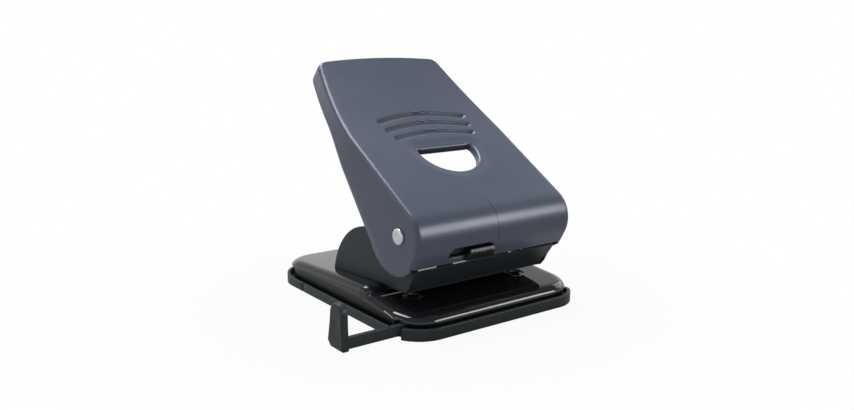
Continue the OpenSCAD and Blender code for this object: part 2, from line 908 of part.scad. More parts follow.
function coil_z(t) = spring_lo + (t < 1 ? end_pitch * t : t > turns - 1 ?
  end_pitch + mid_pitch * (turns - 2) + end_pitch * (t - turns + 1) : end_pitch + mid_pitch * (t - 1));
coil = [for (i = [0 : rings]) let (t = i / per_turn)
  [coil_r * cos(360 * t), coil_r * sin(360 * t), coil_z(t)]];
self_gap = min([for (i = [0 : rings]) for (j = [i + 5 : 1 : min(rings, i + 12)])
  norm(coil[i] - coil[j])]) - 2 * wire_r;
echo(spring_self_gap = self_gap);

module return_spring(s) {
  pts = [for (i = [0 : rings])
    let (c = coil[i],
      out = [cos(360 * i / per_turn), sin(360 * i / per_turn), 0])
    each [for (k = [0 : 5]) c + out * (wire_r * cos(60 * k)) + [0, 0, wire_r * sin(60 * k)]]];
  body = [for (i = [0 : rings - 1]) for (k = [0 : 5])
    let (a = 6 * i + k, b = 6 * i + (k + 1) % 6)
    each [[a, b, b + 6], [a, b + 6, a + 6]]];
  last = 6 * rings;
  color([0.66, 0.66, 0.68])
    translate([s * pin_x, pin_y, 0])
      polyhedron(points = pts, faces = concat(body, [[5, 4, 3, 2, 1, 0]],
        [[last, last + 1, last + 2, last + 3, last + 4, last + 5]]), convexity = 10);
}

module return_spring_left() {
  return_spring(-1);
}

module return_spring_right() {
  return_spring(1);
}

// ---------- the object ----------

base_plate();
chip_tray();
chip_flap();
guide_channel();
guide_click_spring();
paper_guide();
punch_frame();
upper_guide_plate();
guide_plate_rivets();
frame_rivets();
lock_catch();
pivot_axle();
axle_spacer_left();
axle_spacer_right();
lever_shell();
lever_bracket();
lock_slider();
lock_keeper();
punch_pin_left();
punch_pin_right();
pin_clip_left();
pin_clip_right();
spring_seat_left();
spring_seat_right();
return_spring_left();
return_spring_right();
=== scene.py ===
"""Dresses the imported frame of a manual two-hole lever punch.

The classes build the outer surfaces of each sub-assembly with numpy, give them their finishes, and set
the floor, the lamps and the camera. Sizes inside the classes are millimetres; a mesh gets metres.
"""
import logging
import math
from dataclasses import dataclass, field
from enum import Enum
from typing import Sequence

import bpy
import numpy as np
from mathutils import Matrix, Vector


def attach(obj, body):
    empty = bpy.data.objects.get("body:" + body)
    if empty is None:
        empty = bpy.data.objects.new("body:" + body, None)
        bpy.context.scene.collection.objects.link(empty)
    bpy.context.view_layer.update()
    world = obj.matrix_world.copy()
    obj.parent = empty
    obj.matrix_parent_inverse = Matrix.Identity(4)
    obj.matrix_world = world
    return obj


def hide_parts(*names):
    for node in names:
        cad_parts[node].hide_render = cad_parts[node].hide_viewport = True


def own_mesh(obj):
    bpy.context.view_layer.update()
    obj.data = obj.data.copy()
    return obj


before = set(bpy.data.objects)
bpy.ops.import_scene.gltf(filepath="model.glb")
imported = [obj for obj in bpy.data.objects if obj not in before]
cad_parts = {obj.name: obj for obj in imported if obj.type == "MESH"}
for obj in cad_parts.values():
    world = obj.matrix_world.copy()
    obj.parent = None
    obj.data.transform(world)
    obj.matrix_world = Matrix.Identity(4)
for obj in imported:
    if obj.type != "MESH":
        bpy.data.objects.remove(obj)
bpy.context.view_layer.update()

MM = 0.001
LOG = logging.getLogger("lever_punch")

Array = np.ndarray
Colour = tuple[float, float, float]
Rings = tuple[Array, Array, Array]


class Body(Enum):
    """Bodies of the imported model."""

    BASE = "base"
    LEVER = "lever"
    LOCK = "lock"
    PUNCH_LEFT = "punch_left"
    PUNCH_RIGHT = "punch_right"
    GUIDE = "guide"
    FLAP = "flap"


class Run(Enum):
    """Which sides of a rounded rectangle a path follows."""

    ALL = "all"
    FRONT = "front"
    REAR = "rear"


# ---------------------------------------------------------------- surfaces


@dataclass
class Part:
    """One closed shell: points in millimetres, quads (a repeated corner makes a triangle) and flat loops."""

    points: Array
    quads: Array
    loops: list[list[int]] = field(default_factory=list)

    def volume(self) -> float:
        """Signed volume: the sum over triangles of a . (b x c) / 6."""
        fans = [self.quads[:, [0, 1, 2]], self.quads[:, [0, 2, 3]]]
        fans += [np.array([[f[0], f[k], f[k + 1]] for k in range(1, len(f) - 1)]) for f in self.loops]
        a, b, c = (self.points[np.concatenate(fans)[:, k]] for k in range(3))
        return float((a * np.cross(b, c)).sum() / 6)

    def outward(self) -> "Part":
        """The same shell with its faces pointing out."""
        if self.volume() >= 0:
            return self
        return Part(self.points, self.quads[:, ::-1], [f[::-1] for f in self.loops])


def smooth(x: Array, lo: float, hi: float) -> Array:
    """Eased step from 0 at lo to 1 at hi: t * t * (3 - 2 t)."""
    t = np.clip((x - lo) / (hi - lo), 0, 1)
    return t * t * (3 - 2 * t)


def soft_max(a: Array, b: Array, k: float) -> Array:
    """Larger of a and b, raised by k / 6 * h^3 where they come within k, with h = 1 - |a - b| / k."""
    return np.maximum(a, b) + k / 6 * np.clip(1 - np.abs(a - b) / k, 0, 1) ** 3


def steps(*zones: tuple[float, float, float]) -> Array:
    """Sample positions from zones of (start, end, step), joined and sorted."""
    runs = [np.linspace(a, b, max(1, round((b - a) / s)) + 1) for a, b, s in zones]
    return np.unique(np.round(np.concatenate(runs), 4))


def grid_faces(rows: int, cols: int, closed: bool = False) -> Array:
    """Quads between neighbouring points of a grid.

    Args:
        rows: number of rows of points.
        cols: number of points in a row.
        closed: joins the last column to the first.

    Returns:
        An (n, 4) array of point numbers.
    """
    r = np.arange(rows - 1)[:, None] * cols
    c = np.arange(cols if closed else cols - 1)[None, :]
    d = (c + 1) % cols
    return np.stack([r + c, r + d, r + cols + d, r + cols + c], axis=-1).reshape(-1, 4)


def weld(key: Array, faces: Array) -> tuple[Array, Array]:
    """Merges points that share a place.

    Args:
        key: places that decide which points are the same.
        faces: point numbers before the merge.

    Returns:
        The point numbers that are kept, and the faces in the new numbers.
    """
    _, first, index = np.unique(np.round(key, 4) + 0.0, axis=0, return_index=True, return_inverse=True)
    return first, index.reshape(-1)[faces]


def free_edges(faces: Array, n: int) -> Array:
    """Directed edges (a, b) that no neighbouring face runs through as (b, a).

    Args:
        faces: quads, with repeated corners where they are triangles.
        n: number of points.

    Returns:
        An (m, 2) array of point numbers.
    """
    edges = np.concatenate([faces[:, [k, (k + 1) % 4]] for k in range(4)])
    edges = edges[edges[:, 0] != edges[:, 1]]
    free = ~np.isin(edges[:, 1] * n + edges[:, 0], edges[:, 0] * n + edges[:, 1])
    return edges[free]


def sheet(outer: Array, inner: Array, faces: Array, lip: float) -> Part:
    """Closes a sheet: its outer face, its inner face turned over, and a rounded rim along each free edge.

    The rim's points stand between an edge point of the outer face and its partner on the inner face; both
    faces draw back from the edge by up to lip, away from the middle of the faces round it.

    Args:
        outer: points of the outer face.
        inner: points of the inner face, one for each of outer.
        faces: quads of the outer face.
        lip: radius of the rim's rounding.

    Returns:
        The closed shell.
    """
    n = len(outer)
    rim = free_edges(faces, n)
    ids = np.unique(rim)
    corners = faces.reshape(-1)
    middle = np.repeat(outer[faces].mean(axis=1), 4, axis=0)
    total, count = np.zeros((n, 3)), np.zeros(n)
    np.add.at(total, corners, middle)
    np.add.at(count, corners, 1)
    away = outer[ids] - total[ids] / count[ids, None]
    length = np.linalg.norm(away, axis=1, keepdims=True) + 1e-9
    back = away / length * np.minimum(lip, 0.8 * length)
    out, inn = outer[ids], inner[ids]
    rings = [out + (inn - out) * f - back * g for f, g in ((0.13, 0.3), (0.5, 0.0), (0.87, 0.3))]
    outer, inner = outer.copy(), inner.copy()
    outer[ids] -= back
    inner[ids] -= back
    rank = np.searchsorted(ids, rim)
    m = len(ids)
    ladder = [rim, 2 * n + rank, 2 * n + m + rank, 2 * n + 2 * m + rank, rim + n]
    strips = [np.stack([p[:, 1], p[:, 0], q[:, 0], q[:, 1]], axis=1) for p, q in zip(ladder, ladder[1:])]
    return Part(np.concatenate([outer, inner, *rings]), np.concatenate([faces, faces[:, ::-1] + n, *strips]))


def nearest(points: Array, contour: Array) -> tuple[Array, Array]:
    """Nearest places on a closed contour, and the signed distance to it (negative inside).

    Args:
        points: (n, 2) places.
        contour: (m, 2) corners of the contour, in order.

    Returns:
        The (n, 2) nearest places and the (n,) signed distances.
    """
    a, b = contour, np.roll(contour, -1, axis=0)
    best = np.full(len(points), np.inf)
    place = points.copy()
    inside = np.zeros(len(points), dtype=bool)
    for p, q in zip(a, b):
        d = q - p
        t = np.clip(((points - p) @ d) / max(float(d @ d), 1e-12), 0, 1)
        foot = p + t[:, None] * d
        gap = np.linalg.norm(points - foot, axis=1)
        closer = gap < best
        best[closer], place[closer] = gap[closer], foot[closer]
        if p[1] != q[1]:
            crosses = (p[1] > points[:, 1]) != (q[1] > points[:, 1])
            inside ^= crosses & (points[:, 0] < p[0] + (points[:, 1] - p[1]) / (q[1] - p[1]) * d[0])
    return place, np.where(inside, -best, best)


def cut_sheet(plan: Array, faces: Array, contour: Array, cell: float) -> tuple[Array, Array, Array]:
    """Cuts a hole: drops the faces inside a contour and pulls the points along its edge onto it.

    Args:
        plan: (n, 2) parameters of the points.
        faces: quads.
        contour: the hole's outline in the same parameters.
        cell: size of the grid's cells there.

    Returns:
        The moved parameters, the faces that are left, and the numbers of the points on the hole's edge.
    """
    near = (np.abs(plan - contour.mean(axis=0)) < np.ptp(contour, axis=0) / 2 + 3 * cell).all(axis=1)
    gap = np.full(len(plan), 1e3)
    place = plan.copy()
    place[near], gap[near] = nearest(plan[near], contour)
    keep = (gap[faces] > -0.4 * cell).all(axis=1)
    edge = np.intersect1d(faces[keep], faces[~keep])
    moved = plan.copy()
    moved[edge] = place[edge]
    return moved, faces[keep], edge


def arc(centre: Sequence[float], radius: float, start: float, end: float, count: int) -> Array:
    """Points on an arc, with its angles in degrees."""
    a = np.radians(np.linspace(start, end, count))
    return np.stack([centre[0] + radius * np.cos(a), centre[1] + radius * np.sin(a)], axis=1)


def welded(points: Array, faces: Array) -> Part:
    """A shell in which the points that share a place are one point."""
    first, faces = weld(points, faces)
    return Part(points[first], faces)


def lathe(profile: Sequence[tuple[float, float]], ring: bool = False, count: int = 56) -> Part:
    """Turns a profile of (radius, height) about Z: (r cos a, r sin a, h).

    Args:
        profile: stations along the section; both ends at radius 0 unless ring is set.
        ring: the section is a closed loop round a bore.
        count: points round the axis.

    Returns:
        The closed shell.
    """
    rows = np.array(list(profile) + ([profile[0]] if ring else []))
    a = np.linspace(0, 2 * np.pi, count, endpoint=False)
    around = [rows[:, :1] * np.cos(a), rows[:, :1] * np.sin(a), rows[:, 1:] + 0 * a]
    return welded(np.stack(around, axis=-1).reshape(-1, 3), grid_faces(len(rows), count, True))


def placed(part: Part, axis: Sequence[float], origin: Sequence[float]) -> Part:
    """Turns a part's Z onto an axis and moves its origin.

    Args:
        part: a shell made about Z.
        axis: direction that Z takes.
        origin: place that the origin takes.

    Returns:
        The moved shell.
    """
    turn = np.array(Vector((0, 0, 1)).rotation_difference(Vector(axis)).to_matrix())
    return Part(part.points @ turn.T + np.array(origin), part.quads, part.loops)


def pillow(outline: Array, centre: Sequence[float], stations: Sequence[tuple[float, float]]) -> Rings:
    """A closed skin over a flat outline: rings drawn in towards a centre, one for each station.

    A ring is centre + (outline - centre) * (1 - inset / radius), at the station's height.

    Args:
        outline: (n, 2) outline, star-shaped about centre.
        centre: (2,) place.
        stations: (inset, height); an inset past every radius closes the skin.

    Returns:
        The rings' plan places, their heights, and the faces, not yet welded.
    """
    c = np.array(centre)
    arm = outline - c
    radius = np.linalg.norm(arm, axis=1)
    inset = np.array([s[0] for s in stations])[:, None]
    scale = np.clip(1 - inset / radius, 0, 1)
    plan = c + arm * scale[:, :, None]
    height = np.array([s[1] for s in stations])[:, None] + 0 * radius
    return plan.reshape(-1, 2), height.reshape(-1), grid_faces(len(stations), len(outline), True)


def plate(outline: Array, centre: Sequence[float], lo: float, hi: float, edge: float) -> Rings:
    """A flat plate with rounded edges, as the rings of pillow from one face over the edge to the other."""
    turn = np.radians([0, 30, 60, 90])
    low = [(edge * (1 - math.sin(t)), lo + edge * (1 - math.cos(t))) for t in turn]
    high = [(a, lo + hi - b) for a, b in reversed(low)]
    return pillow(outline, centre, [(1e3, lo), (edge + 1, lo), *low, *high, (edge + 1, hi), (1e3, hi)])


def along_x(flat: Rings) -> Part:
    """The rings of pillow with their plan in (Y, Z) and their height along X."""
    plan, height, faces = flat
    return welded(np.column_stack([height, plan]), faces)


def block(lo: Sequence[float], hi: Sequence[float]) -> Part:
    """A six-sided block between two corners, for a Bevel modifier to finish."""
    k = np.array([[x, y, z] for z in (0, 1) for y in (0, 1) for x in (0, 1)])
    points = np.array(lo) + k * (np.array(hi) - np.array(lo))
    faces = np.array([[0, 2, 3, 1], [4, 5, 7, 6], [0, 1, 5, 4], [2, 6, 7, 3], [0, 4, 6, 2], [1, 3, 7, 5]])
    return Part(points, faces)


@dataclass(frozen=True)
class RoundedRectangle:
    """A rounded rectangle in plan, taken as a core rectangle with a margin as wide as the corner radius."""

    half_width: float
    front: float
    rear: float
    radius: float

    def core(self) -> tuple[float, float, float]:
        """Half width, front and rear of the core."""
        return self.half_width - self.radius, self.front + self.radius, self.rear - self.radius

    def path(self, xs: Array, ys: Array, turn: Array, run: Run = Run.ALL) -> tuple[Array, Array]:
        """Core places and outward directions round the outline, anticlockwise from above.

        Args:
            xs: places along the core's front and rear, both ends among them.
            ys: places along the core's sides, both ends among them.
            turn: shares of a quarter turn at which a corner is sampled.
            run: the sides to follow.

        Returns:
            The (n, 2) core places and the (n, 2) directions; place + radius * direction is the outline.
        """
        w, f, r = self.core()
        bend = turn[(turn > 1e-6) & (turn < 1 - 1e-6)]

        def side(places: Array, angle: float) -> tuple[Array, Array]:
            """A straight stretch with one direction."""
            way = np.array([math.cos(math.radians(angle)), math.sin(math.radians(angle))]).round(9)
            return places, np.tile(way, (len(places), 1))

        def corner(x: float, y: float, angle: float) -> tuple[Array, Array]:
            """A quarter turn from angle on, about one core corner."""
            a = np.radians(angle + 90 * bend)
            return np.tile([x, y], (len(bend), 1)).astype(float), np.stack([np.cos(a), np.sin(a)], axis=1)

        front = side(np.stack([xs, 0 * xs + f], axis=1), -90)
        rear = side(np.stack([xs[::-1], 0 * xs + r], axis=1), 90)
        right = side(np.stack([0 * ys + w, ys], axis=1), 0)
        left = side(np.stack([0 * ys - w, ys[::-1]], axis=1), 180)
        rear_end = [corner(w, r, 0), rear, corner(-w, r, 90)]
        chosen = {
            Run.ALL: [front, corner(w, f, -90), right, *rear_end, left, corner(-w, f, 180)],
            Run.FRONT: [left, corner(-w, f, 180), front, corner(w, f, -90), right],
            Run.REAR: [right, *rear_end, left],
        }[run]
        return np.concatenate([c[0] for c in chosen]), np.concatenate([c[1] for c in chosen])


# ---------------------------------------------------------------- finishes


class Value:
    """A shader socket on which plain arithmetic adds Math nodes."""

    def __init__(self, recipe: "Recipe", socket: bpy.types.NodeSocket) -> None:
        """Wraps one output socket of a recipe's tree."""
        self.recipe, self.socket = recipe, socket

    def math(self, operation: str, *others: "Value | float") -> "Value":
        """This value and others through one Math node."""
        return self.recipe.add("ShaderNodeMath", {"operation": operation}, dict(enumerate([self, *others])))

    def _reflected(self, operation: str, other: float) -> "Value":
        """A plain number first, then this value, through one Math node."""
        return self.recipe.add("ShaderNodeMath", {"operation": operation}, {0: other, 1: self})

    def __add__(self, other: "Value | float") -> "Value":
        """self + other"""
        return self.math("ADD", other)

    __radd__ = __add__

    def __sub__(self, other: "Value | float") -> "Value":
        """self - other"""
        return self.math("SUBTRACT", other)

    def __rsub__(self, other: float) -> "Value":
        """other - self"""
        return self._reflected("SUBTRACT", other)

    def __mul__(self, other: "Value | float") -> "Value":
        """self * other"""
        return self.math("MULTIPLY", other)

    __rmul__ = __mul__

    def __truediv__(self, other: "Value | float") -> "Value":
        """self / other"""
        return self.math("DIVIDE", other)

    def __lt__(self, other: "Value | float") -> "Value":
        """1 where self < other, else 0"""
        return self.math("LESS_THAN", other)

    def __gt__(self, other: "Value | float") -> "Value":
        """1 where self > other, else 0"""
        return self.math("GREATER_THAN", other)

    def size(self) -> "Value":
        """Its absolute value."""
        return self.math("ABSOLUTE")


class Recipe:
    """Builds the node tree of a material or of the world."""

    def __init__(self, owner: "bpy.types.Material | bpy.types.World") -> None:
        """Starts an empty tree in a material or world."""
        self.owner = owner
        owner.use_nodes = True
        self.tree = owner.node_tree
        self.tree.nodes.clear()

    def add(self, kind: str, settings: dict, inputs: dict, out: int = 0) -> "Value | None":
        """Adds a node.

        Args:
            kind: the node's type.
            settings: attributes to set first; "stops" is a ramp's list of (place, grey).
            inputs: values or links by socket number or name.
            out: number of the output that is returned.

        Returns:
            The chosen output, or None for a node without outputs.
        """
        node = self.tree.nodes.new(kind)
        for key, setting in settings.items():
            if key == "stops":
                ramp = node.color_ramp.elements
                while len(ramp) < len(setting):
                    ramp.new(0.5)
                for stop, (place, grey) in zip(ramp, setting):
                    stop.position, stop.color = place, (grey, grey, grey, 1)
            else:
                setattr(node, key, setting)
        for key, given in inputs.items():
            if isinstance(given, Value):
                self.tree.links.new(given.socket, node.inputs[key])
            elif isinstance(given, tuple) and len(given) == 3 and node.inputs[key].type == "RGBA":
                node.inputs[key].default_value = (*given, 1)
            else:
                node.inputs[key].default_value = given
        return Value(self, node.outputs[out]) if len(node.outputs) else None

    def point(self, stretch: Colour = (1, 1, 1)) -> Value:
        """Object coordinates, each axis times its stretch."""
        place = self.add("ShaderNodeTexCoord", {}, {}, 3)
        if stretch == (1, 1, 1):
            return place
        return self.add("ShaderNodeVectorMath", {"operation": "MULTIPLY"}, {0: place, 1: stretch})

    def axes(self) -> tuple[Value, Value, Value]:
        """Object coordinates in metres, one value each."""
        place = self.add("ShaderNodeTexCoord", {}, {}, 3)
        split = [self.add("ShaderNodeSeparateXYZ", {}, {0: place}, k) for k in range(3)]
        return split[0], split[1], split[2]

    def noise(self, place: Value, cell: float, detail: float = 2.0, rough: float = 0.5) -> Value:
        """Noise with features about cell millimetres wide."""
        inputs = {"Vector": place, "Scale": 1 / (cell * MM), "Detail": detail, "Roughness": rough}
        return self.add("ShaderNodeTexNoise", {}, inputs)

    def ramp(self, factor: Value, *stops: tuple[float, float]) -> Value:
        """Grey ramp over a factor."""
        return self.add("ShaderNodeValToRGB", {"stops": stops}, {0: factor})

    def mix(self, factor: "Value | float", a: "Value | Colour", b: "Value | Colour") -> Value:
        """Colour a where the factor is 0, b where it is 1."""
        return self.add("ShaderNodeMix", {"data_type": "RGBA"}, {0: factor, 6: a, 7: b}, 2)

    def bump(self, height: Value, depth: float, normal: "Value | None" = None) -> Value:
        """Bump of depth millimetres between heights 0 and 1, over another normal if one is given."""
        inputs = {"Strength": 1.0, "Distance": depth * MM, "Height": height}
        if normal is not None:
            inputs["Normal"] = normal
        return self.add("ShaderNodeBump", {}, inputs)

    def done(self, inputs: dict) -> bpy.types.Material:
        """Ends the tree in a Principled shader with these socket values or links."""
        shader = self.add("ShaderNodeBsdfPrincipled", {}, inputs)
        self.add("ShaderNodeOutputMaterial", {}, {0: shader})
        return self.owner

    def seen(self) -> Value:
        """1 for rays from the camera, from a reflection or through glass."""
        rays = [self.add("ShaderNodeLightPath", {}, {}, k) for k in (0, 3, 6)]
        return (rays[0] + rays[1] + rays[2]).math("MINIMUM", 1.0)


class Finish:
    """A finish whose node tree ends in one Principled shader."""

    def surface(self, recipe: Recipe) -> dict:
        """Socket values or links for the Principled shader."""
        raise NotImplementedError

    def make(self, name: str) -> bpy.types.Material:
        """The finished material."""
        recipe = Recipe(bpy.data.materials.new(name))
        return recipe.done(self.surface(recipe))


@dataclass(frozen=True)
class Enamel(Finish):
    """Baked enamel on sheet steel: slow cloudiness, fine metallic fleck, orange peel, and a clear coat."""

    colour: Colour
    fleck: Colour
    roughness: float
    metallic: float
    coat: float
    coat_roughness: float
    peel: float
    specular: float
    seam: tuple[float, float] = (0.0, 0.0)

    def surface(self, recipe: Recipe) -> dict:
        """Socket values for a Principled shader.

        Where a seam is given, a fine dark line runs down the front face at x = 0 between its two heights.
        """
        place = recipe.point()
        cloud = recipe.noise(place, 45, 3)
        spark = recipe.ramp(recipe.noise(place, 0.35, 2), (0.5, 0), (0.72, 1))
        smear = recipe.noise(recipe.point((1, 2.2, 1.4)), 16, 4, 0.6)
        peel = recipe.noise(place, 1.3, 2)
        dust = recipe.ramp(recipe.noise(place, 0.6, 1), (0.7, 0), (0.76, 1))
        shade = recipe.mix(spark * 0.45 + cloud * 0.3, self.colour, self.fleck)
        if self.seam[1] > self.seam[0]:
            x, y, z = recipe.axes()
            line = (x.size() < 0.28 * MM) * (z > self.seam[0] * MM) * (z < self.seam[1] * MM) * (y < -50 * MM)
            shade = recipe.mix(line * 0.8, shade, (0.01, 0.01, 0.012))
        return {
            "Base Color": shade,
            "Roughness": self.roughness + (smear - 0.5) * (0.35 * self.roughness) + dust * 0.06,
            "Metallic": self.metallic,
            "Coat Weight": self.coat,
            "Coat Roughness": self.coat_roughness,
            "Specular IOR Level": self.specular,
            "Normal": recipe.bump(peel, self.peel),
        }


@dataclass(frozen=True)
class Moulded(Finish):
    """Satin moulded plastic with a fine spark-eroded grain."""

    colour: Colour
    roughness: float
    grain: float
    specular: float = 0.22

    def surface(self, recipe: Recipe) -> dict:
        """Socket values for a Principled shader."""
        place = recipe.point()
        flow = recipe.noise(recipe.point((1, 1, 3)), 30, 3)
        grain = recipe.noise(place, 0.45, 3, 0.65)
        rub = recipe.noise(place, 7, 4, 0.7)
        lighter = tuple(min(1.0, 1.35 * c + 0.004) for c in self.colour)
        return {
            "Base Color": recipe.mix(flow * 0.6 + grain * 0.4, self.colour, lighter),
            "Roughness": self.roughness + (rub - 0.5) * 0.16,
            "Specular IOR Level": self.specular,
            "Normal": recipe.bump(grain, self.grain),
        }


@dataclass(frozen=True)
class Plated(Finish):
    """Bright or dull plated steel with drawing lines along one axis and a few fine scratches."""

    colour: Colour
    roughness: float
    stretch: Colour
    depth: float = 0.006

    def surface(self, recipe: Recipe) -> dict:
        """Socket values for a Principled shader."""
        lines = recipe.noise(recipe.point(self.stretch), 0.5, 3, 0.6)
        cloud = recipe.noise(recipe.point(), 5, 4, 0.6)
        speck = recipe.ramp(recipe.noise(recipe.point(), 0.5, 2), (0.6, 0), (0.7, 1))
        darker = tuple(0.62 * c for c in self.colour)
        return {
            "Base Color": recipe.mix(cloud * 0.5 + speck * 0.35, self.colour, darker),
            "Metallic": 1.0,
            "Roughness": self.roughness + (cloud - 0.5) * 0.2 + lines * 0.08,
            "Normal": recipe.bump(lines, self.depth),
        }


@dataclass(frozen=True)
class Scaled(Finish):
    """Moulded plastic whose front face carries plain graduation marks, printed pale in their grooves."""

    base: Moulded
    first: float
    pitch: float
    low: float
    mark: Colour

    def surface(self, recipe: Recipe) -> dict:
        """Socket values for a Principled shader.

        A mark shows where x is within 0.22 mm of the first mark's place plus a multiple of the pitch.
        """
        sockets = self.base.surface(recipe)
        x, y, z = recipe.axes()
        turns = (x - self.first * MM) / (self.pitch * MM)
        near = (turns - turns.math("ROUND")).size() < 0.22 / self.pitch
        shown = near * (z > self.low * MM) * (y < -65.0 * MM) * (x > (self.first - 1) * MM)
        sockets["Base Color"] = recipe.mix(shown * 0.8, sockets["Base Color"], self.mark)
        return sockets


# ---------------------------------------------------------------- pieces


def publish(name: str, parts: Sequence[Part], material: bpy.types.Material, body: Body,
            nodes: Sequence[str] = (), bevel: float = 0.0, sharp: float = 38.0) -> bpy.types.Object:
    """Makes one piece of the object from closed shells.

    Args:
        name: the piece's name.
        parts: its shells, in millimetres.
        material: its finish.
        body: the body that carries it.
        nodes: CAD nodes that it stands for.
        bevel: width of a Bevel modifier in millimetres, or 0 for none.
        sharp: edges that turn by more than this many degrees stay sharp.

    Returns:
        The new object.
    """
    points, faces, start = [], [], 0
    for part in (p.outward() for p in parts):
        q = part.quads + start
        q = q[(q[:, 0] != q[:, 2]) & (q[:, 1] != q[:, 3])]
        same = q == np.roll(q, -1, axis=1)
        once = same.sum(axis=1) == 1
        faces += q[same.sum(axis=1) == 0].tolist() + q[once][~same[once]].reshape(-1, 3).tolist()
        faces += [[i + start for i in f] for f in part.loops]
        points.append(part.points)
        start += len(part.points)
    used = np.unique(np.concatenate([np.array(f) for f in faces]) if len(faces) < 64 else
                     np.fromiter((i for f in faces for i in f), dtype=np.int64))
    renumber = np.zeros(start, dtype=np.int64)
    renumber[used] = np.arange(len(used))
    mesh = bpy.data.meshes.new(name)
    mesh.from_pydata((np.concatenate(points)[used] * MM).tolist(), [], [renumber[f].tolist() for f in faces])
    mesh.validate()
    mesh.materials.append(material)
    mesh.shade_smooth()
    if not bevel:
        mesh.set_sharp_from_angle(angle=math.radians(sharp))
    piece = bpy.data.objects.new(name, mesh)
    bpy.context.scene.collection.objects.link(piece)
    if bevel:
        rounding = piece.modifiers.new("rounding", "BEVEL")
        rounding.width, rounding.segments = bevel * MM, 3
        rounding.limit_method, rounding.angle_limit = "ANGLE", math.radians(sharp)
        piece.modifiers.new("normals", "WEIGHTED_NORMAL").keep_sharp = True
    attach(piece, body.value)
    if nodes:
        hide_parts(*nodes)
    LOG.info("%s: %d faces on %s", name, len(faces), body.value)
    return piece


def dress(material: bpy.types.Material, *nodes: str) -> None:
    """Gives CAD nodes that stay in view a finish."""
    for name in nodes:
        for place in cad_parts[name].material_slots:
            place.material = material
        LOG.info("%s: keeps its CAD shape", name)


